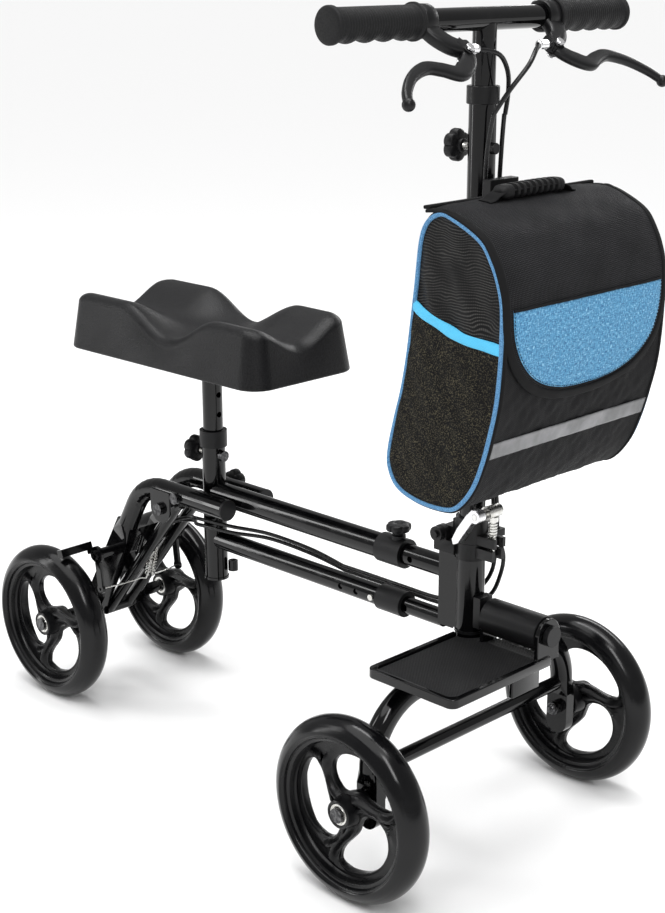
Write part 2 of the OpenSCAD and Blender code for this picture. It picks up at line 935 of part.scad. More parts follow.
module lever_perches() {
    color("black")
        for (s = [-1, 1])
            lever_plane(s)
                difference() {
                    union() {
                        ycyl(0, 0, 82, 98, 15.5);
                        box([0, 62, -7], [34, 92, 7]);
                        box([30, 57, -7.5], [53, 76, 7.5]);
                        ycyl(38, -2, 44, 60, 4);
                        box([-19, 84, -4], [-8, 96, 4]);
                    }
                    ycyl(0, 0, 40, 120, bar_r);
                    box([34.5, 60, -4.2], [70, 92, 4.2]);
                    zcyl(44, 66, -10, 10, 2.5);
                    ycyl(38, -2, 43, 50, 2.4);
                }
    color("silver")
        for (s = [-1, 1])
            lever_plane(s)
                union() {
                    zcyl(44, 66, -9, 9, 2.45);
                    zcyl(44, 66, 7.6, 10, 4.5);
                    zcyl(44, 66, -10, -7.6, 4.5);
                }
}

module brake_lever(s) {
    color("black")
        lever_plane(s)
            difference() {
                union() {
                    translate([44, 66, -3.8])
                        cylinder(h = 7.6, r = 5.6);
                    translate([0, 0, -3.8])
                        linear_extrude(7.6)
                            polygon([[44, 61.5], [54, 66], [64, 78], [74, 96], [73, 106], [64, 118],
                                [63, 134], [72, 155], [88, 173], [100, 183], [95, 190], [79, 181],
                                [63, 162], [53, 138], [52, 116], [60, 100], [55, 90], [46, 78],
                                [40, 71]]);
                    translate([98, 187.5, 0])
                        sphere(r = 6);
                }
                zcyl(44, 66, -10, 10, 2.55);
            }
}

module brake_cables_upper() {
    color("black") {
        cord(upper_right);
        cord(upper_left);
    }
}

// Seat ----------------------------------------------------------------------

module seat_post() {
    color("silver")
        difference() {
            union() {
                zcyl(seat_x, 0, 265, pad_z - 3, post_r);
                box([seat_x - 60, -40, pad_z - 4], [seat_x + 50, 40, pad_z]);
            }
            zcyl(seat_x, 0, 264, pad_z - 6, 10.4);
            for (z = [326 : 24 : 430])
                xcyl(seat_x - 20, seat_x + 20, 0, z, 3.5);
        }
}

// One padded lobe of the knee rest.
module lobe(x0, x1, y, z, r) {
    hull()
        for (x = [x0 + r, x1 - r])
            for (v = [y - 8, y + 8])
                translate([x, v, z - r * 0.9])
                    scale([1, 0.62, 0.9])
                        sphere(r = r, $fn = 24);
}

module knee_pad() {
    mid = -581 + pad_len / 2;
    color("black")
        union() {
            difference() {
                translate([mid, 0, pad_z])
                    linear_extrude(31)
                        union() {
                            square([pad_len - 50, 2 * pad_half], center = true);
                            square([pad_len, 2 * pad_half - 50], center = true);
                            for (x = [-1, 1])
                                for (y = [-1, 1])
                                    translate([x * (pad_len / 2 - 25), y * (pad_half - 25)])
                                        circle(r = 25);
                        }
            }
            for (y = [-50, 50]) {
                lobe(mid - pad_len / 2 + 4, mid - 22, y, 530, 38);
                lobe(mid + 16, mid + pad_len / 2 - 4, y, 530, 38);
            }
            translate([mid, 0, 485])
                cube([pad_len - 60, 2 * pad_half - 30, 34], center = true);
        }
}

module placed() {
    translate([col_x, 0, 0])
        children();
}

placed()
        main_tube_upper();
placed()
        main_tube_lower();
placed()
        seat_tube();
placed()  // side_tube_right
        side_tube(-side_y);
placed()  // side_tube_left
        side_tube(side_y);
placed()
        rear_axle_tube();
placed()
        rear_brace();
placed()
        frame_brackets();
placed()
        frame_collars();
placed()
        end_caps();
placed()
        frame_bolts();
placed()
        rear_axle_hardware();
placed()
        cable_stops();
placed()
        brake_returns();
placed()
        brake_cables_rear();
placed()  // brake_arm_right
        brake_arm(-1);
placed()  // brake_arm_left
        brake_arm(1);
placed()
        snap_button();
placed()
        length_knob();
placed()
        frame_knob();
placed()
        seat_knob();
placed()  // rear_rim_right
        rim(rear_x, -rear_track);
placed()  // rear_tyre_right
        tyre(rear_x, -rear_track);
placed()  // rear_rim_left
        rim(rear_x, rear_track);
placed()  // rear_tyre_left
        tyre(rear_x, rear_track);
placed()  // front_rim_right
        rim(front_x, -front_track);
placed()  // front_tyre_right
        tyre(front_x, -front_track);
placed()  // front_rim_left
        rim(front_x, front_track);
placed()  // front_tyre_left
        tyre(front_x, front_track);
placed()
        inner_tube_upper();
placed()
        inner_tube_lower();
placed()
        head_tube();
placed()
        head_bushes();
placed()
        footrest_barrel();
placed()
        brake_cables_head();
placed()
        footplate();
placed()
        footplate_mat();
placed()
        steerer_tube();
placed()
        front_arch();
placed()
        front_cross_tube();
placed()
        head_casting();
placed()
        front_axle_hardware();
placed()
        column_tube();
placed()
        column_fittings();
placed()
        fold_casting();
placed()
        latch_bolt();
placed()
        bag_body();
placed()
        brake_cables_column();
placed()
        latch_lever();
placed()
        bag_flap();
placed()
        column_knob();
placed()
        stem_tube();
placed()
        handlebar();
placed()
        grips();
placed()
        lever_perches();
placed()
        brake_cables_upper();
placed()  // brake_lever_right
        brake_lever(-1);
placed()  // brake_lever_left
        brake_lever(1);
placed()
        seat_post();
placed()
        knee_pad();
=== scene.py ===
# %% [markdown]
# # A knee scooter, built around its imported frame
# The frame file holds the metal parts as exact solids. This lesson adds the looks: smooth wheels,
# a moulded knee pad, a sewn bag, cables, knobs and levers, and a material for every part.

import json
import math

import bmesh
import bpy
import numpy as np
from mathutils import Matrix, Vector


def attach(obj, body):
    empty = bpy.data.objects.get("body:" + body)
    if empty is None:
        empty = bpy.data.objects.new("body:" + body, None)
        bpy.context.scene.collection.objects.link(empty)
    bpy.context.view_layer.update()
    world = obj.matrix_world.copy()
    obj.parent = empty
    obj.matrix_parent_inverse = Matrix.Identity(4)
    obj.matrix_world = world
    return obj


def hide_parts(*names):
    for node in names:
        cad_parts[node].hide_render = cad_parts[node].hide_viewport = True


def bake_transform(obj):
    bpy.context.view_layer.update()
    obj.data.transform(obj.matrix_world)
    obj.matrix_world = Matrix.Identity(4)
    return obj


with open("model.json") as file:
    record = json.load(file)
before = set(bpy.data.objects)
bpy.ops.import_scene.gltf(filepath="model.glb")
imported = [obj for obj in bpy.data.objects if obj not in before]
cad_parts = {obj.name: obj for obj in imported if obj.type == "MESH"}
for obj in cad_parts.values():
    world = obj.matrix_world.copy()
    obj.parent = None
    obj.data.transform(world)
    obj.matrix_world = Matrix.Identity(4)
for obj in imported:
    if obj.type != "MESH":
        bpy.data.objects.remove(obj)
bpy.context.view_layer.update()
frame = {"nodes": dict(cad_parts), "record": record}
nodes = frame["nodes"]
COL = 0.2885  # forward place of the steering axis

# %% [markdown]
# ## Shader sums
# A material is a graph of nodes. Writing the sums as Python expressions keeps it readable, so one
# small class wraps a number socket, and its operators add the Math nodes.


# %% Numbers that grow nodes
class Num:
    """A number in a material. a + b, a * b and so on add one Math node each."""

    def __init__(self, paint, socket):
        self.paint, self.socket = paint, socket

    def math(self, operation, *others):
        put = {i: o for i, o in enumerate((self,) + others)}
        return self.paint.node("ShaderNodeMath", dict(operation=operation), put)

    def swapped(self, operation, other):
        return self.paint.node("ShaderNodeMath", dict(operation=operation), {0: other, 1: self})

    def __add__(self, o):
        return self.math("ADD", o)

    def __sub__(self, o):
        return self.math("SUBTRACT", o)

    def __mul__(self, o):
        return self.math("MULTIPLY", o)

    def __truediv__(self, o):
        return self.math("DIVIDE", o)

    def __rsub__(self, o):
        return self.swapped("SUBTRACT", o)

    def __rtruediv__(self, o):
        return self.swapped("DIVIDE", o)

    __radd__, __rmul__ = __add__, __mul__

    def sin(self):
        return self.math("SINE")

    def abs(self):
        return self.math("ABSOLUTE")

    def fract(self):
        return self.math("FRACT")

    def min(self, o):
        return self.math("MINIMUM", o)

    def max(self, o):
        return self.math("MAXIMUM", o)

    def ramp(self, low, high, to_low=0.0, to_high=1.0):
        """Runs smoothly from to_low to to_high as the number goes from low to high."""
        return self.paint.node(
            "ShaderNodeMapRange",
            dict(interpolation_type="SMOOTHSTEP", clamp=True),
            {"Value": self, "From Min": low, "From Max": high, "To Min": to_low, "To Max": to_high},
        )


class Paint:
    """One material and the nodes in it."""

    def __init__(self, name, colour, rough, metal=0.0, **fixed):
        self.mat = bpy.data.materials.new(name)
        self.mat.use_nodes = True
        self.tree = self.mat.node_tree
        self.skin = self.tree.nodes["Principled BSDF"]
        self.mat.diffuse_color = (*colour, 1)
        self.set("Base Color", (*colour, 1))
        self.set("Roughness", rough)
        self.set("Metallic", metal)
        for key, value in fixed.items():
            self.set(key.replace("_", " "), value)

    def put(self, socket, value):
        value = getattr(value, "socket", value)
        if isinstance(value, bpy.types.NodeSocket):
            self.tree.links.new(value, socket)
        else:
            socket.default_value = value

    def set(self, name, value):
        self.put(self.skin.inputs[name], value)

    def node(self, kind, settings=None, inputs=None, out=0):
        """Adds a node of this kind, its settings first and then its inputs, and gives its output."""
        n = self.tree.nodes.new(kind)
        for key, value in (settings or {}).items():
            if key == "stops":
                while len(n.color_ramp.elements) < len(value):
                    n.color_ramp.elements.new(0.5)
                for e, (at, c) in zip(n.color_ramp.elements, value):
                    e.position, e.color = at, (*c, 1)
            else:
                setattr(n, key, value)
        for key, value in (inputs or {}).items():
            self.put(n.inputs[key], value)
        return Num(self, n.outputs[out])

    def place(self, kind="Object"):
        return self.node("ShaderNodeTexCoord", out=kind)

    def axes(self, kind="Object"):
        """The three coordinates as numbers, in metres."""
        where = self.place(kind)
        n = self.tree.nodes.new("ShaderNodeSeparateXYZ")
        self.put(n.inputs[0], where)
        return [Num(self, n.outputs[i]) for i in range(3)]

    def noise(self, scale, detail=3.0, where=None, rough=0.5):
        put = {"Scale": scale, "Detail": detail, "Roughness": rough}
        put["Vector"] = where or self.place()
        return self.node("ShaderNodeTexNoise", None, put, 0)

    def cells(self, scale, feature="F1", where=None):
        put = {"Scale": scale, "Vector": where or self.place()}
        return self.node("ShaderNodeTexVoronoi", dict(feature=feature), put)

    def stretched(self, sx, sy, sz, kind="Object"):
        return self.node("ShaderNodeMapping", None, {"Vector": self.place(kind), "Scale": (sx, sy, sz)})

    def mix(self, factor, a, b):
        """Colour a where factor is 0 and b where it is 1."""
        put = {0: factor, 6: a if isinstance(a, Num) else (*a, 1), 7: b if isinstance(b, Num) else (*b, 1)}
        return self.node("ShaderNodeMix", dict(data_type="RGBA"), put, 2)

    def bump(self, height, strength, depth, before=None):
        put = {"Height": height, "Strength": strength, "Distance": depth}
        if before is not None:
            put["Normal"] = before
        return self.node("ShaderNodeBump", None, put)


paints = {}

# %% [markdown]
# ## The hard finishes
# The tubes are black enamel: very dark, glossy, with the faint ripple of sprayed paint. Moulded parts
# are the same black but satin with a fine grain. Small hardware is zinc plated.

# %% Enamel, plastics and metals
p = Paint("black enamel", (0.002, 0.002, 0.0025), 0.08, Specular_IOR_Level=0.32)
dust = p.noise(38, 5)
p.set("Roughness", dust.ramp(0.35, 0.8, 0.07, 0.19))
p.set("Base Color", p.mix(dust.ramp(0.5, 0.85), (0.0015, 0.0015, 0.0018), (0.0035, 0.0035, 0.004)))
p.set("Normal", p.bump(p.noise(95, 2), 0.05, 0.001))
paints["black_enamel"] = p.mat

p = Paint("satin black casting", (0.006, 0.006, 0.0065), 0.32, Specular_IOR_Level=0.24)
grain = p.noise(900, 3)
p.set("Roughness", grain.ramp(0.3, 0.7, 0.28, 0.44))
p.set("Normal", p.bump(grain, 0.12, 0.0004))
paints["satin_casting"] = p.mat

p = Paint("moulded black plastic", (0.008, 0.008, 0.0085), 0.38, Specular_IOR_Level=0.22)
pits = p.cells(1500)
wear = p.noise(22, 4)
p.set("Roughness", wear.ramp(0.35, 0.7, 0.36, 0.52))
p.set("Base Color", p.mix(wear.ramp(0.3, 0.8), (0.006, 0.006, 0.0065), (0.011, 0.011, 0.012)))
p.set("Normal", p.bump(pits, 0.10, 0.0004))
paints["black_plastic"] = p.mat

p = Paint("rim plastic", (0.003, 0.003, 0.0035), 0.24, Specular_IOR_Level=0.25)
wear = p.noise(30, 4)
p.set("Roughness", wear.ramp(0.3, 0.75, 0.22, 0.38))
p.set("Normal", p.bump(p.noise(600, 3), 0.06, 0.0004))
paints["rim_plastic"] = p.mat

p = Paint("solid tyre", (0.003, 0.003, 0.0035), 0.20, Specular_IOR_Level=0.25)
rub = p.noise(26, 5)
p.set("Roughness", rub.ramp(0.35, 0.75, 0.14, 0.27))
p.set("Base Color", p.mix(rub.ramp(0.4, 0.85), (0.0025, 0.0025, 0.003), (0.0055, 0.0055, 0.006)))
p.set("Normal", p.bump(p.noise(420, 4), 0.07, 0.0005))
paints["solid_tyre"] = p.mat

p = Paint("zinc plate", (0.62, 0.61, 0.58), 0.28, 1.0)
tint = p.noise(160, 4)
p.set("Base Color", p.mix(tint.ramp(0.3, 0.7), (0.50, 0.49, 0.46), (0.74, 0.74, 0.72)))
p.set("Roughness", tint.ramp(0.3, 0.8, 0.20, 0.40))
paints["zinc_hardware"] = p.mat

p = Paint("blackened bolt", (0.07, 0.07, 0.072), 0.30, 1.0)
rub = p.noise(260, 3)
p.set("Base Color", p.mix(rub.ramp(0.35, 0.75), (0.035, 0.035, 0.037), (0.14, 0.14, 0.142)))
p.set("Roughness", rub.ramp(0.3, 0.8, 0.22, 0.42))
paints["dark_bolt"] = p.mat

p = Paint("cast aluminium", (0.80, 0.80, 0.81), 0.30, 1.0)
brush = p.noise(1.0, 3, p.stretched(60, 900, 900))
p.set("Roughness", brush.ramp(0.3, 0.7, 0.2, 0.42))
p.set("Normal", p.bump(brush, 0.10, 0.0003))
paints["lever_metal"] = p.mat

p = Paint("cable sheath", (0.005, 0.005, 0.0055), 0.26, Specular_IOR_Level=0.35)
p.set("Roughness", p.noise(200, 2).ramp(0.3, 0.7, 0.24, 0.38))
paints["cable_sheath"] = p.mat

# %% Rubber of the grips and of the footplate's mat
p = Paint("grip rubber", (0.008, 0.008, 0.0085), 0.55, Specular_IOR_Level=0.22)
speck = p.noise(700, 3)
p.set("Roughness", speck.ramp(0.3, 0.7, 0.52, 0.70))
p.set("Normal", p.bump(speck, 0.18, 0.0004))
paints["grip_rubber"] = p.mat

p = Paint("mat rubber", (0.007, 0.007, 0.0075), 0.62, Specular_IOR_Level=0.30)
x, y, z = p.axes()
knobs = (x * (2 * math.pi / 0.0022)).sin() * (y * (2 * math.pi / 0.0022)).sin()
p.set("Base Color", p.mix(knobs.ramp(-0.2, 0.9), (0.004, 0.004, 0.0045), (0.016, 0.016, 0.017)))
p.set("Roughness", knobs.ramp(-0.5, 1.0, 0.75, 0.5))
p.set("Normal", p.bump(knobs, 0.55, 0.0006))
paints["mat_rubber"] = p.mat

# %% [markdown]
# ## The knee pad's skin
# The pad is foam with a moulded black skin, grained like leather. Small cells make the grain, and
# larger noise makes it catch the light unevenly, as a real skin does.

# %% Pad skin
p = Paint("grained pad skin", (0.006, 0.006, 0.0065), 0.42, Specular_IOR_Level=0.22)
pebble = p.cells(760, "SMOOTH_F1")
fine = p.noise(1500, 3)
broad = p.noise(14, 4)
p.set("Base Color", p.mix(pebble.ramp(0.1, 0.7), (0.009, 0.009, 0.010), (0.003, 0.003, 0.0035)))
p.set("Roughness", broad.ramp(0.3, 0.7, 0.34, 0.46))
p.set("Normal", p.bump(pebble * 0.8 + fine * 0.4, 0.50, 0.0007))
paints["pad_foam"] = p.mat

# %% [markdown]
# ## The bag's cloths
# The bag has six cloths: a coarse black weave on the flap, a finer black weave on the body, a wavy
# mesh on the upper side, a speckled mesh pocket, a light blue melange and a grey reflective tape.
# The weaves follow the cloth, so they read the piece's own UV map, which is in metres.


# %% Weaves
def weave(name, dark, light, pitch, lean=1.0, depth=0.0006, strength=0.6, rough=(0.62, 0.85)):
    """Cloth of round threads: two crossing waves, leaned over so that the crossings run diagonally. The light
    colour is a painted highlight on the thread tops, and the fold noise paints broad patches of fold shade
    over it.
    """
    p = Paint(name, dark, rough[0], Specular_IOR_Level=0.22)
    u, v, _ = p.axes("UV")
    a = ((u + v * lean) * (2 * math.pi / pitch)).sin()
    b = ((v - u * lean) * (2 * math.pi / (pitch * 1.15))).sin()
    threads = a * b
    fuzz = p.noise(2200, 2)
    fold = p.noise(16, 5)
    # Painted highlight: the thread tops take the light colour; the crossing pattern itself is the real weave.
    lit = threads.ramp(-0.1, 0.9) * 0.8 + fuzz.ramp(0.4, 0.7) * 0.2
    # Painted shade: the fold noise darkens broad patches of the cloth, as if in the shade of folds.
    shade = lit * fold.ramp(0.25, 0.75, 0.45, 1.0)
    p.set("Base Color", p.mix(shade, dark, light))
    p.set("Roughness", lit.ramp(0, 1, rough[1], rough[0]))
    p.set("Normal", p.bump(threads * 0.7 + fuzz * 0.3, strength, depth))
    return p


# Each weave's light colour is a painted highlight on its thread tops.
paints["bag_weave"] = weave("coarse black weave", (0.0018, 0.0018, 0.0021), (0.036, 0.036, 0.041), 0.0034).mat
paints["bag_cloth"] = weave(
    "fine black weave", (0.002, 0.002, 0.0024), (0.020, 0.0195, 0.0215), 0.0016, 0.0, 0.0004, 0.4
).mat
paints["binding"] = weave(
    "black binding tape", (0.003, 0.003, 0.0034), (0.016, 0.016, 0.0175), 0.0014, 0.0, 0.0004, 0.5
).mat

p = Paint("light blue melange", (0.10, 0.30, 0.60), 0.8, Sheen_Weight=0.06, Sheen_Roughness=0.5)
down = p.noise(1.0, 3, p.stretched(900, 260, 1, "UV"))
over = p.noise(1.0, 3, p.stretched(260, 900, 1, "UV"))
fleck = down.ramp(0.35, 0.7) * 0.55 + over.ramp(0.35, 0.7) * 0.45
blue = p.mix(fleck.ramp(0.0, 0.55), (0.028, 0.125, 0.27), (0.080, 0.300, 0.52))
p.set("Base Color", p.mix(fleck.ramp(0.5, 1.0), blue, (0.33, 0.60, 0.78)))
p.set("Roughness", fleck.ramp(0, 1, 0.88, 0.72))
p.set("Normal", p.bump(fleck, 0.5, 0.0006))
paints["blue_melange"] = p.mat

p = Paint("blue piping cloth", (0.11, 0.29, 0.55), 0.75, Sheen_Weight=0.06, Sheen_Roughness=0.5)
twist = p.noise(1100, 3)
p.set("Base Color", p.mix(twist.ramp(0.3, 0.7), (0.030, 0.12, 0.27), (0.12, 0.32, 0.55)))
p.set("Normal", p.bump(twist, 0.6, 0.0005))
paints["piping"] = p.mat

p = Paint("bright blue tape", (0.07, 0.52, 0.82), 0.6, Sheen_Weight=0.05)
u, v, _ = p.axes("UV")
rib = (u * (2 * math.pi / 0.0014)).sin() * (v * (2 * math.pi / 0.0014)).sin()
p.set("Base Color", p.mix(rib.ramp(-0.6, 0.8), (0.045, 0.40, 0.70), (0.11, 0.60, 0.88)))
p.set("Normal", p.bump(rib, 0.35, 0.0004))
paints["blue_tape"] = p.mat

p = Paint("grey reflective tape", (0.18, 0.18, 0.185), 0.42)
fold = p.noise(30, 4)
bead = p.cells(2600)
p.set("Base Color", p.mix(fold.ramp(0.3, 0.7), (0.105, 0.107, 0.11), (0.27, 0.27, 0.28)))
p.set("Roughness", fold.ramp(0.3, 0.7, 0.34, 0.55))
p.set("Normal", p.bump(bead, 0.15, 0.0003))
paints["reflective"] = p.mat

# %% Two meshes of the side panel
p = Paint("side panel meshes", (0.006, 0.006, 0.006), 0.7, Specular_IOR_Level=0.2)
u, v, _ = p.axes("UV")
bend = p.noise(26, 2).ramp(0.2, 0.8, -0.004, 0.004)
wave = ((v + bend) * (2 * math.pi / 0.0027)).sin()
stitch = ((u + v * 0.15) * (2 * math.pi / 0.0017)).sin()
upper = wave.ramp(-0.1, 0.9) * (stitch.ramp(-0.6, 0.8) * 0.6 + 0.4)
upper = upper * p.noise(24, 3).ramp(0.3, 0.62, 0.25, 1.0)
knot = p.noise(900, 1, None, 0.5)
pocket = knot.ramp(0.53, 0.64) * p.noise(40, 3).ramp(0.3, 0.55, 0.55, 1.0)
low = p.node("ShaderNodeAttribute", dict(attribute_name="pocket"), out=2)
top_colour = p.mix(upper, (0.002, 0.002, 0.0023), (0.062, 0.060, 0.057))
low_colour = p.mix(pocket, (0.0015, 0.0015, 0.0018), (0.066, 0.058, 0.036))
p.set("Base Color", p.mix(low, top_colour, low_colour))
height = upper * (1 - low) + knot * low
p.set("Normal", p.bump(height, 0.6, 0.0007))
p.set("Roughness", low.ramp(0, 1, 0.62, 0.85))
paints["side_mesh"] = p.mat
print("materials:", len(paints))

# %% [markdown]
# ## Shapes from numbers
# Every new piece is a grid of points: a shape is a function of two parameters, worked out with numpy
# for the whole grid at once. These helpers turn grids into meshes.


# %% Grid to mesh
def quads(n, m, loop_u, loop_v, start=0):
    """Corner numbers of the quads of an n by m grid; a looped direction joins its end to its start."""
    i = np.arange(n if loop_u else n - 1)[:, None]
    j = np.arange(m if loop_v else m - 1)[None, :]
    a, b = i * m + j, ((i + 1) % n) * m + j
    c, d = ((i + 1) % n) * m + (j + 1) % m, i * m + (j + 1) % m
    return np.stack([a, b, c, d], -1).reshape(-1, 4) + start


def mesh_of(name, verts, faces, paint, uv=None, sharp=40, extra=None):
    """A smooth-shaded object from points and faces."""
    me = bpy.data.meshes.new(name)
    me.from_pydata(np.asarray(verts).reshape(-1, 3).tolist(), [], [list(map(int, f)) for f in faces])
    me.update()
    if uv is not None:
        corner = np.zeros(len(me.loops), np.int32)
        me.loops.foreach_get("vertex_index", corner)
        layer = me.uv_layers.new(name="cloth")
        layer.data.foreach_set("uv", np.asarray(uv).reshape(-1, 2)[corner].astype(np.float32).ravel())
    if extra is not None:
        a = me.attributes.new(extra[0], "FLOAT", "POINT")
        a.data.foreach_set("value", np.asarray(extra[1]).ravel().astype(np.float32))
    me.polygons.foreach_set("use_smooth", np.ones(len(me.polygons), bool))
    me.set_sharp_from_angle(angle=math.radians(sharp))
    me.materials.append(paints[paint])
    ob = bpy.data.objects.new(name, me)
    bpy.context.scene.collection.objects.link(ob)
    return ob


def sheet_of(name, grid, paint, loop_u=False, loop_v=False, ends=False, **more):
    """A grid of points as a mesh; ends closes the first and last row of a tube with one face each."""
    n, m = grid.shape[:2]
    faces = quads(n, m, loop_u, loop_v).tolist()
    if ends:
        faces += [list(range(m))[::-1], list(range((n - 1) * m, n * m))]
    return mesh_of(name, grid, faces, paint, **more)


def turned_out(ob):
    """Recalculates the normals of a closed mesh so that they point outwards."""
    bm = bmesh.new()
    bm.from_mesh(ob.data)
    bmesh.ops.remove_doubles(bm, verts=bm.verts, dist=1e-6)
    bmesh.ops.recalc_face_normals(bm, faces=bm.faces)
    bm.to_mesh(ob.data)
    bm.free()
    return ob


def rod(name, grid, paint, **more):
    """A section carried along a path, closed round it and capped at both ends."""
    return turned_out(sheet_of(name, grid, paint, False, True, ends=True, **more))


def finish_piece(ob, body, slot, *replaced):
    """Puts a piece on its body, in place of the solids it stands for. slot is not used."""
    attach(ob, body)
    if replaced:
        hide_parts(*replaced)
    return ob


def thicken(ob, thickness, offset=-1.0, levels=0):
    """Gives a sheet a wall, and rounds it with subdivision if asked."""
    s = ob.modifiers.new("wall", "SOLIDIFY")
    s.thickness, s.offset = thickness, offset
    if levels:
        d = ob.modifiers.new("smooth", "SUBSURF")
        d.levels = d.render_levels = levels
    return ob


# %% Curves, sweeps and turned shapes
def spline(points, step=0.004):
    """Smooth run through the points: on each span a cubic blend of its two ends and their neighbours."""
    p = np.asarray(points, float)
    p = np.vstack([p[:1], p, p[-1:]])
    out = []
    for a, b, c, d in zip(p[:-3], p[1:-2], p[2:-1], p[3:]):
        n = max(2, int(np.linalg.norm(c - b) / step))
        t = np.arange(n)[:, None] / n
        out.append(0.5 * (2 * b + (c - a) * t + (2 * a - 5 * b + 4 * c - d) * t**2
                          + (3 * b - a - 3 * c + d) * t**3))
    return np.vstack(out + [p[-1:]])


def closed_spline(points, count):
    """The same cubic blend round a closed ring of points, then spaced evenly by length."""
    p = np.asarray(points, float)
    k = len(p)
    t = np.linspace(0, 1, 24, endpoint=False)[None, :, None]
    a, b, c, d = (np.roll(p, s, 0)[:, None, :] for s in (1, 0, -1, -2))
    q = 0.5 * (2 * b + (c - a) * t + (2 * a - 5 * b + 4 * c - d) * t**2
               + (3 * b - a - 3 * c + d) * t**3)
    q = q.reshape(k * 24, -1)
    q = np.vstack([q, q[:1]])
    run = np.r_[0, np.cumsum(np.linalg.norm(np.diff(q, axis=0), axis=1))]
    s = np.linspace(0, run[-1], count, endpoint=False)
    return np.stack([np.interp(s, run, q[:, i]) for i in range(q.shape[1])], 1), s


def frames(path):
    """Two directions across a path at each point, carried along it without twist."""
    t = np.gradient(path, axis=0)
    t /= np.linalg.norm(t, axis=1)[:, None]
    s = np.cross(t[0], [0.3, 0.4, 0.9])
    side = np.empty_like(path)
    for i in range(len(path)):
        s = s - (s @ t[i]) * t[i]
        s = s / np.linalg.norm(s)
        side[i] = s
    return side, np.cross(t, side)


def carried(path, width, height=None, sides=20, power=2.0, across=None):
    """A rounded section carried along a path: half sizes width and height may change along it.
    The section is a superellipse, so a larger power gives squarer sides."""
    a = np.linspace(0, 2 * np.pi, sides, endpoint=False)
    ca = np.sign(np.cos(a)) * np.abs(np.cos(a)) ** (2 / power)
    sa = np.sign(np.sin(a)) * np.abs(np.sin(a)) ** (2 / power)
    w = np.broadcast_to(np.asarray(width, float), len(path))[:, None, None]
    h = w if height is None else np.broadcast_to(np.asarray(height, float), len(path))[:, None, None]
    if across is None:
        u, v = frames(path)
    else:
        t = np.gradient(path, axis=0)
        v = np.cross(t, np.asarray(across, float))
        v /= np.linalg.norm(v, axis=1)[:, None]
        u = np.cross(v, t / np.linalg.norm(t, axis=1)[:, None])
    return path[:, None] + w * ca[None, :, None] * u[:, None] + h * sa[None, :, None] * v[:, None]


def lathe(profile, centre, axis, sides=96):
    """A profile of (radius, distance along the axis) turned round the axis."""
    q = np.asarray(profile, float)
    a = np.linspace(0, 2 * np.pi, sides, endpoint=False)
    e = {"x": (1, 2, 0), "y": (2, 0, 1), "z": (0, 1, 2)}[axis]
    grid = np.zeros((sides, len(q), 3))
    grid[..., e[0]] = q[None, :, 0] * np.cos(a)[:, None]
    grid[..., e[1]] = q[None, :, 0] * np.sin(a)[:, None]
    grid[..., e[2]] = q[None, :, 1]
    return grid + np.asarray(centre)


def at(x, y, z):
    """A place given in millimetres from the steering axis, as metres in the frame."""
    return np.array([x / 1000 + COL, y / 1000, z / 1000])


def ripple(a, b, seed=0.0):
    """Soft unevenness from a few waves whose lengths share no common measure."""
    return (np.sin(a * 31.7 + seed + 1.3 * np.sin(b * 17.1)) + np.sin(b * 43.9 - a * 19.3 + 2.1 * seed)
            + 0.6 * np.sin(a * 71.0 + b * 58.0 + seed * 3.3)) / 2.6


# %% [markdown]
# ## Paint the solids that stay
# The tubes and castings are already right in shape, so they only take a material.

# %% Materials for the frame's own parts
for name, node in nodes.items():
    slot = next(s["material_slot"] for s in frame["record"]["subparts"] if s["node"] == name)
    node.data.materials.clear()
    node.data.materials.append(paints.get(slot, paints["black_plastic"]))
for name in ("head_casting", "fold_casting", "frame_collars", "column_fittings", "footrest_barrel",
             "frame_brackets", "cable_stops", "brake_arm_right", "brake_arm_left"):
    nodes[name].data.materials[0] = paints["satin_casting"]
for name in ("frame_bolts", "front_axle_hardware", "rear_axle_hardware"):
    nodes[name].data.materials[0] = paints["dark_bolt"]

# %% [markdown]
# ## Wheels
# The tyre is a smooth solid ring. The rim behind it is moulded in steps, with three S-shaped spokes
# whose raised ribs run from hub to rim. Between the spokes are three rounded windows. The web of the
# rim is a strip from each window's edge out to the border of its third of the wheel, and its height
# over that strip gives the lips and ribs.

# %% Tyre and rim
def tyre_profile():
    """A round section of 20.5 mm with a fine moulding line each side, open at the seat on the rim."""
    a = np.linspace(math.radians(77.5), math.radians(-77.5), 49)
    r, w = 79.5 + 20.5 * np.cos(a), 20.5 * np.sin(a)
    r = r - 0.25 * np.exp(-((np.abs(w) - 15.5) / 0.5) ** 2)
    side = np.array([[83.6, -19.9], [82.6, -19.0], [82.6, 19.0], [83.6, 19.9]])
    return np.vstack([np.stack([r, w], 1), side])


def wheel_window(count):
    """Outline of one window: broad and round at its leading end, drawn out along the rim behind it."""
    pts = np.array([[15.5, -12], [20, -2], [30, 2.5], [42, 1.5], [51, -6], [55, -19], [53, -33], [44, -48],
                    [29, -60], [12, -66], [-3, -67], [-12, -62], [-11, -52], [-4, -41], [5, -31], [12, -22]])
    ring, _ = closed_spline(pts, count)
    return ring


def spoke_line(count, degrees):
    """Middle line of one spoke from hub to rim, a shallow S, turned by so many degrees."""
    pts = np.array([[11.8, 10.2, 0], [19, 11.8, 0], [30, 10.6, 0], [42, 9.2, 0], [53, 7.4, 0], [64, 8.0, 0],
                    [75.6, 10.4, 0]])
    line = spline(pts, 0.4)[:, :2]
    t = np.linspace(0, len(line) - 1, count)
    line = np.stack([np.interp(t, np.arange(len(line)), line[:, i]) for i in range(2)], 1)
    a = math.radians(degrees)
    return line @ np.array([[math.cos(a), math.sin(a)], [-math.sin(a), math.cos(a)]])


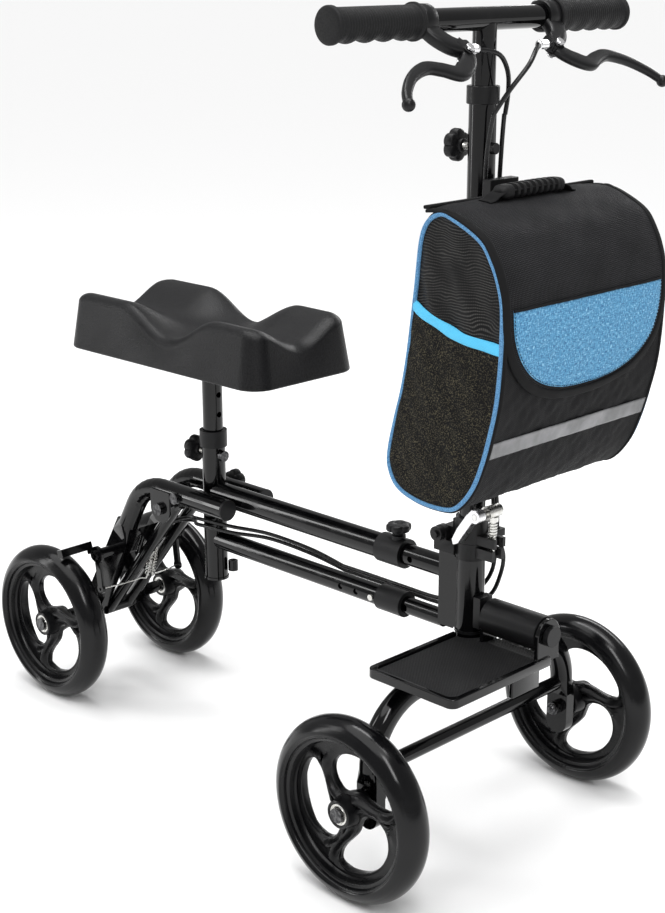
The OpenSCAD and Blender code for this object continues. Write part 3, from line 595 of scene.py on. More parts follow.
def sector_border(count):
    """Border of one third of the wheel: out along one spoke, round the rim, back along the next
    spoke and round the hub. It also says how much of each stretch is spoke."""
    k = count // 4
    out, back = spoke_line(k, 0), spoke_line(k, -120)[::-1]

    def arc(p, q):
        a, b = math.atan2(p[1], p[0]), math.atan2(q[1], q[0])
        b = b - 2 * math.pi * round((b - a) / (2 * math.pi))
        t = np.linspace(a, b, k + 2)[1:-1]
        return np.hypot(*p) * np.stack([np.cos(t), np.sin(t)], 1)

    border = np.vstack([out, arc(out[-1], back[0]), back, arc(back[-1], out[0])])
    spoke = np.r_[np.ones(k), np.zeros(k), np.ones(k), np.ones(k)]
    window = np.hanning(43)[1:-1]
    wide = np.convolve(np.r_[spoke[-20:], spoke, spoke[:20]], window / window.sum(), "valid")
    return border, wide


def match(ring, border):
    """The window point nearest to each border point, the run of them smoothed so none crosses."""
    near = np.argmin(((border[:, None] - ring[None]) ** 2).sum(-1), 1)
    k = len(ring)
    step = (np.diff(np.r_[near, near[0]]) + k / 2) % k - k / 2
    run = near[0] + np.r_[0, np.cumsum(step)][:-1]
    turns = round(step.sum() / k) * k
    wide = np.r_[run[-24:] - turns, run, run[:24] + turns]
    run = np.convolve(wide, np.hanning(51)[1:-1] / np.hanning(51).sum(), "valid")
    i = np.mod(run, k)
    both = np.vstack([ring, ring[:1]])
    return np.stack([np.interp(i, np.arange(k + 1), both[:, c]) for c in range(2)], 1)


def wheel_web(y, x):
    """The three sectors, each a strip from window edge to border on both faces, with its wall.
    The height over it depends on the distance from the window: a low lip, a bowl that rises to a rib
    8.5 mm out, and behind the rib a pocket where the strip is wide."""
    border, spoke = sector_border(320)
    ring = match(wheel_window(900), border)
    v = np.array([0.0, 0.02, 0.06, 0.12, 0.2, 0.3, 0.4, 0.5, 0.6, 0.7, 0.8, 0.9, 1.0])
    far = np.linalg.norm(border - ring, axis=1)
    v = v[None, :]
    d = v * far[:, None]
    flat = ring[:, None] * (1 - v[..., None]) + border[:, None] * v[..., None]
    s = np.clip((d - 1.5) / 6.5, 0, 1)
    bowl = s * s * (3 - 2 * s)
    fall = np.clip((d - 9.6) / 3.0, 0, 1)
    groove = np.exp(-((d - far[:, None]) / 1.6) ** 2) * 0.9
    high = 3.2 + spoke[:, None] * (6.4 * bowl - 5.6 * fall * fall * (3 - 2 * fall) - groove)
    high = high + 0.6 * np.exp(-((d - 1.2) / 0.8) ** 2)
    high[:, 0] = 2.6
    both = np.concatenate([flat[:, ::-1], flat], 1)
    tall = np.concatenate([high[:, ::-1], -high], 1)
    verts, faces = [], []
    for third in range(3):
        a = np.radians(120 * third)
        c, s = np.cos(a), np.sin(a)
        px, pz = both[..., 0] * c - both[..., 1] * s, both[..., 0] * s + both[..., 1] * c
        grid = np.stack([px / 1000 + x, tall / 1000 + y, pz / 1000 + 0.1], -1)
        faces.append(quads(*grid.shape[:2], True, False, sum(map(len, verts))))
        verts.append(grid.reshape(-1, 3))
    return np.vstack(verts), np.vstack(faces)


def rim_profile():
    """Stepped section of the rim's outer band, from the outside face over the edge and back inside."""
    half = np.array([[73.6, 0.0], [73.6, 4.6], [75.0, 6.4], [75.6, 9.0], [75.8, 12.6], [77.6, 13.6],
                     [79.2, 14.0], [79.8, 16.8], [80.6, 18.2], [82.2, 19.0], [83.4, 18.8], [84.0, 17.6]])
    return np.vstack([half[::-1], (half * [1, -1])[1:]])


def hub_profile():
    """The hub: a barrel with a rounded lip and a seat for the bearing at each end."""
    half = np.array([[11.1, 10.0], [11.1, 17.0], [11.8, 18.0], [13.6, 18.4], [15.0, 17.6], [16.2, 12.0],
                     [17.4, 6.0]])
    return np.vstack([half, (half * [1, -1])[::-1]])


def bearing_profile():
    """Bearing at both hub faces: an outer ring, a groove with the shield, and the inner ring."""
    face = np.array([[8.2, 15.0], [8.2, 17.3], [9.0, 17.6], [9.25, 17.1], [9.9, 17.1], [10.1, 17.6],
                     [11.2, 17.5], [11.3, 15.0]])
    return [face, (face * [1, -1])[::-1]]


for side, s in (("right", -1), ("left", 1)):
    for end, x, y in (("front", 7, 187), ("rear", -616, 97)):
        centre, body = at(x, s * y, 100), f"{end}_wheel_{side}"
        rings = [lathe(q / 1000, centre, "y", 64) for q in bearing_profile()]
        faces = np.vstack([quads(*g.shape[:2], True, True, i * g[..., 0].size) for i, g in enumerate(rings)])
        points = np.vstack([g.reshape(-1, 3) for g in rings])
        bearing = mesh_of(f"{end}_bearings_{side}", points, faces, "zinc_hardware", sharp=30)
        finish_piece(turned_out(bearing), body, "zinc_hardware")
        tyre = sheet_of(f"{end}_tyre_{side}_smooth", lathe(tyre_profile() / 1000, centre, "y", 160),
                        "solid_tyre", True, True)
        finish_piece(turned_out(tyre), body, "solid_tyre", f"{end}_tyre_{side}")
        verts, faces = wheel_web(centre[1], centre[0])
        for profile in (rim_profile(), hub_profile()):
            g = lathe(profile / 1000, centre, "y", 144)
            faces = np.vstack([faces, quads(*g.shape[:2], True, True, len(verts))])
            verts = np.vstack([verts, g.reshape(-1, 3)])
        rim = mesh_of(f"{end}_rim_{side}_spoked", verts, faces, "rim_plastic", sharp=35)
        finish_piece(turned_out(rim), body, "black_plastic", f"{end}_rim_{side}")
print("wheels made")

# %% [markdown]
# ## Knee pad
# The pad is one moulding: sides that lean in, a rounded shoulder, and four lobes with a channel along
# the middle and a dip across it. Its height is a sum of smooth bumps over the plan, and its outline is
# a rectangle with rounded corners. It is moulded, so it needs no cloth simulation.

# %% Pad surface
def pad_height(u, v):
    """Top of the pad, u along it and v across, both from -1 to 1: a plateau, less a dip across it and
    a channel along it. Each is a raised cosine, so it meets the plateau without a crease."""
    dip = np.cos(np.pi / 2 * np.clip((u - 0.07) / 0.50, -1, 1)) ** 2
    channel = np.cos(np.pi / 2 * np.clip(v / 0.88, -1, 1)) ** 2
    return 530.5 - 31 * dip - 25 * channel * (1 - 0.90 * dip) - 1.5 * (u > 0.5) * (u - 0.5)


def rounded_rectangle(count, half_l, half_w, radius):
    """A rectangle with rounded corners, and for each point the way straight out of its edge."""
    k = count // 4
    a = np.linspace(0, np.pi / 2, k // 2)
    pts, out = [], []
    for q, (sx, sy) in enumerate(((1, 1), (-1, 1), (-1, -1), (1, -1))):
        t = a + q * np.pi / 2
        c = np.array([sx * (half_l - radius), sy * (half_w - radius)])
        n = np.stack([np.cos(t), np.sin(t)], 1)
        pts.append(c + radius * n)
        out.append(n)
        nx, ny = ((-1, 1), (-1, -1), (1, -1), (1, 1))[q]
        c2 = np.array([nx * (half_l - radius), ny * (half_w - radius)])
        e0, e1 = pts[-1][-1], c2 + radius * n[-1]
        s = np.linspace(0, 1, k - k // 2 + 2)[1:-1, None]
        pts.append(e0 * (1 - s) + e1 * s)
        out.append(np.repeat(n[-1:], len(s), 0))
    return np.vstack(pts), np.vstack(out)


def knee_pad():
    """Rings from the middle of the top out over the shoulder, down the leaning side and under it.
    The lean and the shoulder follow the outline's own outward direction, so corners keep their shape."""
    mid, lean, half_l, half_w, round_top = -411.0, 8.0, 170.0, 82.0, 12.0
    edge, out = rounded_rectangle(256, half_l, half_w, 28.0)
    n = len(edge)
    top, _ = rounded_rectangle(256, half_l - lean, half_w - lean, 22.0)
    rings = []
    near_edge = [0.915, 0.93, 0.944, 0.956, 0.966, 0.975, 0.983, 0.99, 0.995, 0.9985, 1.0]
    for f in np.r_[0.01, np.linspace(0.03, 0.90, 64), near_edge]:
        x, y = f * top[:, 0], f * top[:, 1]
        z = pad_height(x / (half_l - lean), y / (half_w - lean))
        near = np.minimum(half_l - lean - np.abs(x), half_w - lean - np.abs(y))
        near = np.minimum(near, (1 - f) * 100)
        drop = round_top * (1 - np.sqrt(np.clip(1 - (1 - np.clip(near / round_top, 0, 1)) ** 2, 0, 1)))
        rings.append(np.stack([x, y, z - drop], 1))
    rim = rings[-1][:, 2]
    for t in np.r_[0.02, 0.05, np.linspace(0.1, 0.97, 18), 0.99, 1.0]:
        p = top * (1 - t) + edge * t
        rings.append(np.stack([p[:, 0], p[:, 1], rim + (467.0 - rim) * t], 1))
    for inset, z in ((0.3, 465.8), (1.2, 465.1), (4.0, 465.0)):
        p = edge - inset * out
        rings.append(np.stack([p[:, 0], p[:, 1], np.full(n, z)], 1))
    for f in (0.6, 0.02):
        rings.append(np.stack([f * edge[:, 0], f * edge[:, 1], np.full(n, 465.0)], 1))
    g = np.array(rings)
    g[..., 0] += mid
    return g / 1000 + [COL, 0, 0]


pad = rod("knee_pad_moulded", knee_pad(), "pad_foam", sharp=60)
finish_piece(pad, "seat", "pad_foam", "knee_pad")
print("pad made")

# %% [markdown]
# ## The bag
# The bag is a soft box: a band of cloth round the front, top, bottom and back, and a panel at each
# side, joined by piping. A loft from one closed outline gives the band, and the same outline filled
# in gives each side panel. Wrinkles only push inwards, so the flap always lies clear of the body.

# %% Bag outline and how far the side panel bulges
BAG = np.array([[37, 680], [28, 623], [14, 535], [4, 494], [-3, 463], [-3, 443], [9, 425], [36, 416],
                [68, 415], [86, 421], [104, 442], [116, 469], [125, 499], [132, 529], [135, 557],
                [136, 589], [135, 621], [130, 642], [121, 661], [107, 679], [77, 694], [56, 698]])
ring, run = closed_spline(BAG, 300)
middle = np.array([72.0, 555.0])
turn = np.arctan2(ring[:, 1] - middle[1], ring[:, 0] - middle[0])
reach = np.linalg.norm(ring - middle, axis=1)
order = np.argsort(turn)
circle_turn = np.r_[turn[order] - 2 * np.pi, turn[order], turn[order] + 2 * np.pi]
circle_reach = np.tile(reach[order], 3)


def side_fullness(x, z):
    """How near a point of the side panel is to its middle: 1 in the middle and 0 at the piping."""
    q = np.arctan2(z - middle[1], x - middle[0])
    return 1 - np.clip(np.hypot(x - middle[0], z - middle[1]) / np.interp(q, circle_turn, circle_reach), 0, 1)


def strap_line(x):
    """Height of the slanting tape across the side panel, sagging a little between its ends."""
    t = (x - 27) / 106
    return 610 - 28 * t - 5 * np.sin(np.pi * np.clip(t, 0, 1))


def side_out(x, z):
    """How far the side panel stands out of the plane of its edge: a low crown, folds leaning
    forwards in the upper mesh, and a pocket that stands 2 mm proud below the tape."""
    f = side_fullness(x, z)
    crown = 5.0 * (1 - (1 - f) ** 2.2)
    pocket = 1 / (1 + np.exp((z - strap_line(x)) / 1.2))
    folds = 1.4 * np.sin((x + 0.30 * (z - 640)) / 6.2 + 0.8 * np.sin(z / 31)) * np.clip(f * 5, 0, 1)
    slack = 1.6 * ripple(x / 260, z / 300, 2.0) * np.clip(f * 5, 0, 1)
    return crown + folds * (1 - pocket) + slack + 2.2 * pocket * np.clip(f * 14, 0, 1), pocket


def bag_side(s):
    """The outline drawn in towards the middle, in steps that are fine near the piping."""
    f = 1 - np.linspace(0, 1, 72) ** 1.3 * 0.995
    flat = middle + f[:, None, None] * (ring - middle)[None]
    out, pocket = side_out(flat[..., 0], flat[..., 1])
    y = s * (123.6 + out)
    grid = np.stack([flat[..., 0] / 1000 + COL, y / 1000, flat[..., 1] / 1000], -1)
    return grid, flat / 1000, pocket


# %% Band of the bag, with its opening under the flap
def bag_band():
    """The outline carried from side to side. Behind the middle the cloth is drawn forwards, clear
    of the column. Wrinkles push it in by up to 2.5 mm, and fade out at the piping."""
    y = np.linspace(-124.4, 124.4, 150)[:, None]
    x, z = np.broadcast_to(ring[:, 0], (150, 300)), np.broadcast_to(ring[:, 1], (150, 300))
    inward = middle - ring
    inward = inward / np.linalg.norm(inward, axis=1)[:, None]
    fade = np.clip((1 - (np.abs(y) / 124.4) ** 6), 0, 1)
    deep = 1.3 + 1.2 * ripple(y / 230, z / 260, 1.0) + 0.7 * ripple(y / 70, z / 120, 4.0)
    front = np.clip((x - 60) / 60, 0, 1)
    sag = 2.2 * front * np.exp(-((z - 455) / 30) ** 2) * (1 - (y / 124.4) ** 2)
    deep = np.clip(deep, 0, 2.8) * fade * (0.35 + 0.65 * front) + sag
    x, z = x + deep * inward[:, 0], z + deep * inward[:, 1]
    hold = np.clip((36 - np.abs(y)) / 6, 0, 1)
    x = np.where(x < 60, np.maximum(x, 21.5 * hold - 60 * (1 - hold)), x)
    grid = np.stack([x / 1000 + COL, y / 1000 + 0 * x, z / 1000], -1)
    uv = np.stack([np.broadcast_to(run, x.shape) / 1000, y / 1000 + 0 * x], -1)
    return grid, uv


grid, uv = bag_band()
faces = quads(150, 300, False, True)
centre = grid.reshape(-1, 3)[faces].mean(1)
hole = (centre[:, 0] > COL + 0.048) & (centre[:, 0] < COL + 0.096) & (np.abs(centre[:, 1]) < 0.114) \
    & (centre[:, 2] > 0.66)
band = mesh_of("bag_band", grid, faces[~hole], "bag_cloth", uv=uv)


def outwards(ob, point):
    """Flips an open sheet's faces if they look towards the point instead of away from it."""
    me = ob.data
    n, c, a = (np.zeros(len(me.polygons) * k, np.float32) for k in (3, 3, 1))
    me.polygons.foreach_get("normal", n)
    me.polygons.foreach_get("center", c)
    me.polygons.foreach_get("area", a)
    if (((c.reshape(-1, 3) - point) * n.reshape(-1, 3)).sum(1) * a).sum() < 0:
        me.flip_normals()
    return float(a.sum())


heart = at(72, 0, 555)
area = outwards(band, heart)
thicken(band, 0.0014)
finish_piece(band, "column", "bag_cloth", "bag_body")
for side, s in (("right", -1), ("left", 1)):
    grid, uv, pocket = bag_side(s)
    panel = sheet_of(f"bag_side_{side}", grid, "side_mesh", False, True, uv=uv, extra=("pocket", pocket))
    area = outwards(panel, heart)
    thicken(panel, 0.0012)
    finish_piece(panel, "column", "bag_cloth")

    # Piping: a cord of cloth sewn into the seam.
    inset = ring + 3.1 * (middle - ring) / np.linalg.norm(middle - ring, axis=1)[:, None]
    edge = np.stack([inset[:, 0], np.full(300, s * 124.9), inset[:, 1]], 1) / 1000 + [COL, 0, 0]
    closed = np.vstack([edge, edge[:1]])
    pipe = carried(closed, 0.0022, 0.0022, 14, across=(0, 1, 0))[:-1]
    piping = sheet_of(f"bag_piping_{side}", pipe, "piping", True, True)
    finish_piece(turned_out(piping), "column", "bag_cloth")
    inner = np.stack([ring[:, 0], np.full(300, s * 121.8), ring[:, 1]], 1)
    inner = inner / 1000 + [COL, 0, 0]
    fold = carried(np.vstack([inner, inner[:1]]), 0.0020, 0.0011, 10, across=(0, 1, 0))[:-1]
    seam = sheet_of(f"bag_seam_{side}", fold, "binding", True, True)
    finish_piece(turned_out(seam), "column", "bag_cloth")

    # The bright slanting tape that closes the pocket.
    t = np.linspace(0, 1, 60)[:, None]
    w = np.linspace(-1, 1, 9)[None, :]
    x = 27.5 + 106 * t + 0 * w
    z = strap_line(x) + 5.1 * w
    out, _ = side_out(x, z - 3)
    y = s * (123.6 + out + 1.3 - 0.5 * w**4)
    grid = np.stack([x / 1000 + COL, y / 1000, z / 1000], -1)
    tape = sheet_of(f"bag_pocket_tape_{side}", grid, "blue_tape", uv=np.stack([x, z], -1) / 1000)
    outwards(tape, heart)
    thicken(tape, 0.0010)
    finish_piece(tape, "column", "bag_cloth")

# %% Reflective strip across the lower front
def front_at(z):
    """Forward place of the bag's front at a height."""
    front = ring[ring[:, 0] > middle[0]]
    o = np.argsort(front[:, 1])
    return np.interp(z, front[o, 1], front[o, 0])


y = np.linspace(-120.5, 120.5, 120)[:, None]
w = np.linspace(-1, 1, 9)[None, :]
z = 484 + 8.0 * w + 0 * y
x = front_at(z) + 0.4 - 0.9 * np.clip(ripple(y / 160, z / 300, 3.0), 0, 1) * (1 - (y / 121) ** 6)
strip = sheet_of("bag_reflective_strip", np.stack([x / 1000 + COL, (y + 0 * w) / 1000, z / 1000], -1),
                 "reflective", uv=np.stack([y + 0 * w, z], -1) / 1000)
outwards(strip, heart)
thicken(strip, 0.0008)
finish_piece(strip, "column", "bag_cloth")
print("bag body made")

# %% [markdown]
# ## The flap
# The flap is one sheet of coarse weave. It runs over the top and down the front, and its lower end is
# rounded like the letter D. The blue panel has the same D, a little smaller, and is sewn on top. A
# binding tape folds round the whole edge.

# %% Flap surface
FLAP = np.array([[40, 700], [56, 701], [78, 697], [109, 682], [124, 663], [133, 643], [137.8, 622],
                 [139, 589], [138, 557], [134.6, 524]])
flap_line = spline(FLAP, 1.0)
flap_run = np.r_[0, np.cumsum(np.linalg.norm(np.diff(flap_line, axis=0), axis=1))]
seam_s = float(np.interp(-617, -flap_line[60:, 1], flap_run[60:]))
print("flap length to the blue seam, and in all:", round(seam_s), round(flap_run[-1]))


def flap_point(s, y, proud=0.0):
    """A point of the flap: s along it from the back edge, y across it. It rises by proud along its
    outward direction, and the cloth swells gently between its edges."""
    x, z = np.interp(s, flap_run, flap_line[:, 0]), np.interp(s, flap_run, flap_line[:, 1])
    dx, dz = np.gradient(flap_line[:, 0], flap_run), np.gradient(flap_line[:, 1], flap_run)
    nx, nz = np.interp(s, flap_run, -dz), np.interp(s, flap_run, dx)
    n = np.hypot(nx, nz)
    ease = 1 - (y / 124) ** 4
    lift = proud - 0.8 + 0.7 * ease * ripple(y / 300, s / 300, 5.0) + 0.9 * ease
    drop = 2.2 * np.clip((np.abs(y) - 95) / 28, 0, 1) ** 2
    x, z = x + (lift - drop) * nx / n, z + (lift - drop) * nz / n
    return np.stack([x / 1000 + COL, y / 1000 + 0 * x, z / 1000], -1)


def d_shape(half, depth, power=2.5):
    """Depth below the seam and half width along a D: |width/half|^p + (depth/total)^p = 1."""
    a = np.linspace(0, np.pi / 2 - 0.004, 46)
    return depth * np.sin(a) ** (2 / power), half * np.cos(a) ** (2 / power)


def d_sheet(half, depth, proud, top=None):
    """Rows across the D, from its seam (or from the flap's back edge) to its rounded end."""
    d, w = d_shape(half, depth)
    s = seam_s + d
    if top is not None:
        s = np.r_[np.linspace(top, seam_s, 90, endpoint=False), s]
        w = np.r_[np.full(90, half), w]
    t = np.linspace(-1, 1, 81)
    y = w[:, None] * t[None, :]
    grid = flap_point(np.broadcast_to(s[:, None], y.shape), y, proud)
    return grid, np.stack([y, np.broadcast_to(s[:, None], y.shape)], -1) / 1000


grid, uv = d_sheet(122.5, 92.0, 0.0, 1.0)
flap = sheet_of("bag_flap_weave", grid, "bag_weave", uv=uv)
flap_area = outwards(flap, heart)
thicken(flap, 0.0018)
finish_piece(flap, "bag_flap", "bag_weave", "bag_flap")

grid, uv = d_sheet(114.0, 85.0, 0.9)
panel = sheet_of("bag_flap_panel", grid, "blue_melange", uv=uv)
panel_area = outwards(panel, heart)
thicken(panel, 0.0009)
finish_piece(panel, "bag_flap", "bag_weave")


# %% Binding round the flap, and the stitches beside it
def flap_edge(half, depth, top, proud):
    """The flap's edge as one line: down one side, round the D, and up the other."""
    d, w = d_shape(half, depth)
    s = np.r_[np.linspace(top, seam_s, 70, endpoint=False), seam_s + d]
    w = np.r_[np.full(70, half), w]
    s, y = np.r_[s, s[-2::-1]], np.r_[w, -w[-2::-1]]
    return flap_point(s, y, proud)


def along(line, step):
    """The same line with its points spaced evenly."""
    r = np.r_[0, np.cumsum(np.linalg.norm(np.diff(line, axis=0), axis=1))]
    t = np.linspace(0, r[-1], max(3, int(r[-1] / step)))
    return np.stack([np.interp(t, r, line[:, i]) for i in range(3)], 1)


def toward(line, point):
    """Direction across a line that lies in the cloth: square to the line and to the way out."""
    t = np.gradient(line, axis=0)
    out = line - point
    out[:, 1] *= 0.15
    side = np.cross(t, out)
    return side / np.linalg.norm(side, axis=1)[:, None]


edge = along(flap_edge(122.0, 92.5, 1.0, -0.5), 0.003)
edge = along(np.vstack([edge, edge[:1] * [1, 0.99, 1]])[:-1], 0.003)
tape = carried(edge, 0.0046, 0.0017, 16, 3.0, across=toward(edge, heart))
finish_piece(rod("bag_flap_binding", tape, "binding", sharp=60), "bag_flap", "bag_weave")

back = np.stack([np.full(80, 40.0), np.linspace(-123, 123, 80), np.full(80, 699.6)], 1) / 1000 + [COL, 0, 0]
hem = carried(back, 0.0042, 0.0019, 16, 3.0, across=(1, 0, 0.1))
finish_piece(rod("bag_flap_hem", hem, "binding", sharp=60), "bag_flap", "bag_weave")


def stitches(name, line, across, body, slot, paint, pitch=0.0032, size=(0.0011, 0.0004)):
    """A row of stitches along a line: each is a small rounded grain, and all are one mesh."""
    p = along(line, pitch)[:-1]
    t = np.gradient(p, axis=0)
    t /= np.linalg.norm(t, axis=1)[:, None]
    b = np.broadcast_to(across, p.shape) - (np.broadcast_to(across, p.shape) * t).sum(1)[:, None] * t
    b /= np.linalg.norm(b, axis=1)[:, None]
    n = np.cross(t, b)
    u = np.array([-1, -0.6, 0.6, 1.0])
    r = np.array([0.15, 0.9, 0.9, 0.15])
    a = np.linspace(0, 2 * np.pi, 6, endpoint=False)
    g = (p[:, None, None] + size[0] * u[None, :, None, None] * t[:, None, None]
         + size[1] * (r[:, None] * np.cos(a))[None, :, :, None] * b[:, None, None]
         + size[1] * (r[:, None] * np.sin(a))[None, :, :, None] * n[:, None, None])
    one = quads(4, 6, False, True)
    faces = (one[None] + np.arange(len(p))[:, None, None] * 24).reshape(-1, 4)
    ends = np.array([[5, 4, 3, 2, 1, 0], [18, 19, 20, 21, 22, 23]])
    caps = (ends[None] + np.arange(len(p))[:, None, None] * 24).reshape(-1, 6)
    ob = mesh_of(name, g, faces.tolist() + caps.tolist(), paint)
    return finish_piece(turned_out(ob), body, slot)


line = flap_edge(113.0, 84.0, seam_s, 1.1)
stitches("bag_panel_stitches", along(line, 0.002), (1, 0, 0), "bag_flap", "bag_weave", "binding")
seam = flap_point(np.full(60, seam_s + 0.5), np.linspace(-114, 114, 60), 0.9)
rib = carried(seam, 0.0013, 0.0007, 10, across=(0, 0, 1))
finish_piece(rod("bag_panel_seam", rib, "binding"), "bag_flap", "bag_weave")
print("flap made, stitches and binding on")

# %% [markdown]
# ## The carrying handle
# The handle on top of the flap is webbing in a ribbed rubber sleeve. One rounded section is carried
# along a low arch, and a square wave in its size makes the ribs.

# %% Handle
web = [(60, -66, 700.4), (61, -60, 701.8), (62, -53, 706), (62.5, -40, 708.5), (63, 0, 709.5),
       (62.5, 34, 708.5), (62, 47, 706), (61, 54, 701.8), (60, 60, 700.4)]
web = spline([at(*q) for q in web], 0.0012)
strap = carried(web, 0.0085, 0.0011, 16, 3.5, across=(1, 0, 0))
finish_piece(rod("bag_handle_webbing", strap, "binding", sharp=60), "bag_flap", "bag_weave")
sleeve = along(spline([at(62, -50, 706.1), at(62.5, -40, 707.8), at(63, 0, 708.5), at(62.5, 34, 707.8),
                       at(62, 44, 706.1)], 0.001), 0.0005)
y = np.linspace(0, 1, len(sleeve))
wave = np.clip(0.5 + 2.6 * np.sin(2 * np.pi * y * 11 - 1.2), 0, 1)
body = np.clip(y / 0.06, 0, 1) ** 0.5 * np.clip((1 - y) / 0.06, 0, 1) ** 0.5
grip = np.clip((y - 0.14) / 0.02, 0, 1) * np.clip((0.90 - y) / 0.02, 0, 1)
size = 0.0028 + 0.0040 * body - 0.0024 * (1 - wave) * grip
cover = carried(sleeve, size * 1.35, size, 24, 2.8, across=(1, 0, 0))
finish_piece(rod("bag_handle_sleeve", cover, "grip_rubber", sharp=50), "bag_flap", "bag_weave")

# %% [markdown]
# ## Cables
# Two brake cables run from the levers down the column and back to the rear brakes. Their routes repeat the
# solids' routes, smoothly.

# %% Four lengths of cable
CABLE_RADIUS = 0.0023
CABLES = {
    "upper": ("stem", "column", (24, 0, 830), (18, 0, 776),
              [[27.8, -49, 833], [32, -38, 833], [36, -20, 828], [31, -2, 812], [20, 13, 792], [13, 18, 771]],
              [[27.8, 49, 833], [36, 34, 832], [43, 14, 818], [36, -4, 796], [24, -13, 773]]),
    "column": ("column", "steerer", (12, 20, 400), (12, 24, 345),
               [[12, 18, 771], [9, 19, 740], [6, 20, 680], [5, 20, 560], [5, 20, 450], [8, 23, 390],
                [9, 25, 340]],
               [[24, -13, 773], [17, -12, 740], [14, -11, 690], [14, -10, 580], [16.8, 0, 520],
                [15, 10, 470], [14, 18, 410], [16, 21, 370], [16, 22, 340]]),
    "head": ("steerer", "front_frame", (8, 24, 335), (-10, 22, 268),
             [[9, 25, 340], [10, 27, 322], [8, 25, 300], [-4, 23, 280], [-25, 18, 264],
              [-55, 13.5, 255], [-110, 13.5, 254], [-170, 13.5, 254], [-200, 13, 254]],
             [[16, 22, 340], [22, 26, 322], [20, 25, 300], [6, 26, 272], [-20, 21, 256],
              [-55, 17.5, 248], [-110, 17.5, 247.5], [-170, 17.5, 247.5], [-200, 17, 247.5]]),
    "rear": ("front_frame", "frame", (-205, 12, 254), (-300, 5, 266),
             [[-200, 13, 254], [-250, 11, 262], [-310, 0, 269], [-360, -13, 269], [-405, -18.5, 268],
              [-428, -13, 264], [-448, -4.2, 258], [-480, -4, 246], [-510, -4, 231]],
             [[-200, 17, 247.5], [-250, 14, 255], [-310, 3, 262], [-360, -13, 261.5],
              [-405, -18.5, 260.5], [-428, -11, 256], [-448, 2.5, 252], [-480, 4, 244], [-510, 4, 231]]),
}
for part, (a, b, start, end, *routes) in CABLES.items():
    for hand, route in zip(("right", "left"), routes):
        line = spline([at(*q) for q in route], 0.004)
        ob = rod(f"brake_cable_{part}_{hand}", carried(line, CABLE_RADIUS, sides=16), "cable_sheath")
        tuple(at(*start))
        tuple(at(*end))
        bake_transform(ob)
        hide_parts(f"brake_cables_{part}")
print("cables made")

# %% Inner wires and return springs of the rear brakes
for hand, s in (("right", -1), ("left", 1)):
    a = np.linspace(0, 12 * 2 * np.pi, 420)
    k = np.linspace(0, 1, 420)
    turn_x, turn_y, turn_z = 2.9 * np.cos(a), 2.9 * np.sin(a), 0.8 * np.cos(a)
    coil = np.stack([-522 - 14 * k + turn_x, s * 4 + turn_y, 211 - 51 * k - turn_z], 1) / 1000 + [COL, 0, 0]
    spring = rod(f"brake_spring_{hand}", carried(coil, 0.0006, sides=8), "zinc_hardware")
    finish_piece(spring, "frame", "zinc_hardware", "brake_returns")
    wire = spline([at(-521, s * 4, 213), at(-536, s * 4, 159), at(-540, s * 12, 155.5), at(-548, s * 38, 152),
                   at(-556, s * 60, 150)], 0.003)
    ob = rod(f"brake_wire_{hand}", carried(wire, 0.0009, sides=10), "zinc_hardware")
    first, last = at(-538, s * 10, 156), at(-556, s * 58, 150)
    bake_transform(ob)

# %% [markdown]
# ## Knobs
# A clamp knob is a turned shape whose radius also waves round its axis: six soft lobes, deepest at
# the middle of its height and fading out towards the crown. Its screw is a separate turned piece.

# %% Lobed knobs
def placed(local, centre, axis):
    """Moves points given as (across, across, along) so that along lies on the axis."""
    along_axis = np.array({"x": (1, 0, 0), "-x": (-1, 0, 0), "y": (0, 1, 0), "z": (0, 0, 1)}[axis], float)
    first = np.array([0, 0, 1.0]) if axis != "z" else np.array([1.0, 0, 0])
    second = np.cross(along_axis, first)
    return centre + local[..., :1] * first + local[..., 1:2] * second + local[..., 2:] * along_axis


def knob(node, centre, axis, r, h, screw_r, screw_len):
    """Radius = profile(height) x (1 + lobe depth(height) x cos(6 x angle))."""
    a = np.linspace(0, 2 * np.pi, 144, endpoint=False)[:, None]
    q = np.array([[0.0, -4], [0.40, -4], [0.42, -3.6], [0.43, -0.6], [0.60, 0], [0.80, 0.4], [0.87, 1.4],
                  [0.90, 3], [0.90, h - 3], [0.88, h - 1.6], [0.80, h - 0.6], [0.62, h - 0.1], [0.42, h],
                  [0.36, h - 0.3], [0.30, h - 1.0], [0.0, h - 1.1]])
    deep = np.interp(q[:, 1], [-1, 1.5, h - 2, h], [0, 0.105, 0.105, 0.03])
    deep[np.abs(q[:, 0]) < 0.5] = 0
    wave = np.abs(np.cos(3 * a)) ** 0.7 * 2 - 1
    rad = r * q[None, :, 0] * (1 + deep[None] * wave)
    local = np.stack([rad * np.cos(a), rad * np.sin(a), q[None, :, 1] + 0 * rad], -1) / 1000
    head = sheet_of(f"{node}_lobed", placed(local, centre, axis), "black_plastic", True, False, sharp=55)
    finish_piece(turned_out(head), node, "black_plastic", node)
    t = np.arange(0, screw_len - 2, 0.25)
    q = np.vstack([[0, -screw_len], [screw_r * 0.7, -screw_len],
                   np.stack([screw_r - 0.25 + 0.25 * np.sin(2 * np.pi * t / 1.25), -screw_len + 0.6 + t], 1),
                   [screw_r, -2.2], [0, -2.2]])
    b = np.linspace(0, 2 * np.pi, 32, endpoint=False)[:, None]
    local = np.stack([q[None, :, 0] * np.cos(b), q[None, :, 0] * np.sin(b), q[None, :, 1] + 0 * b], -1) / 1000
    screw = sheet_of(f"{node}_screw", placed(local, centre, axis), "zinc_hardware", True, False)
    finish_piece(turned_out(screw), node, "zinc_hardware")


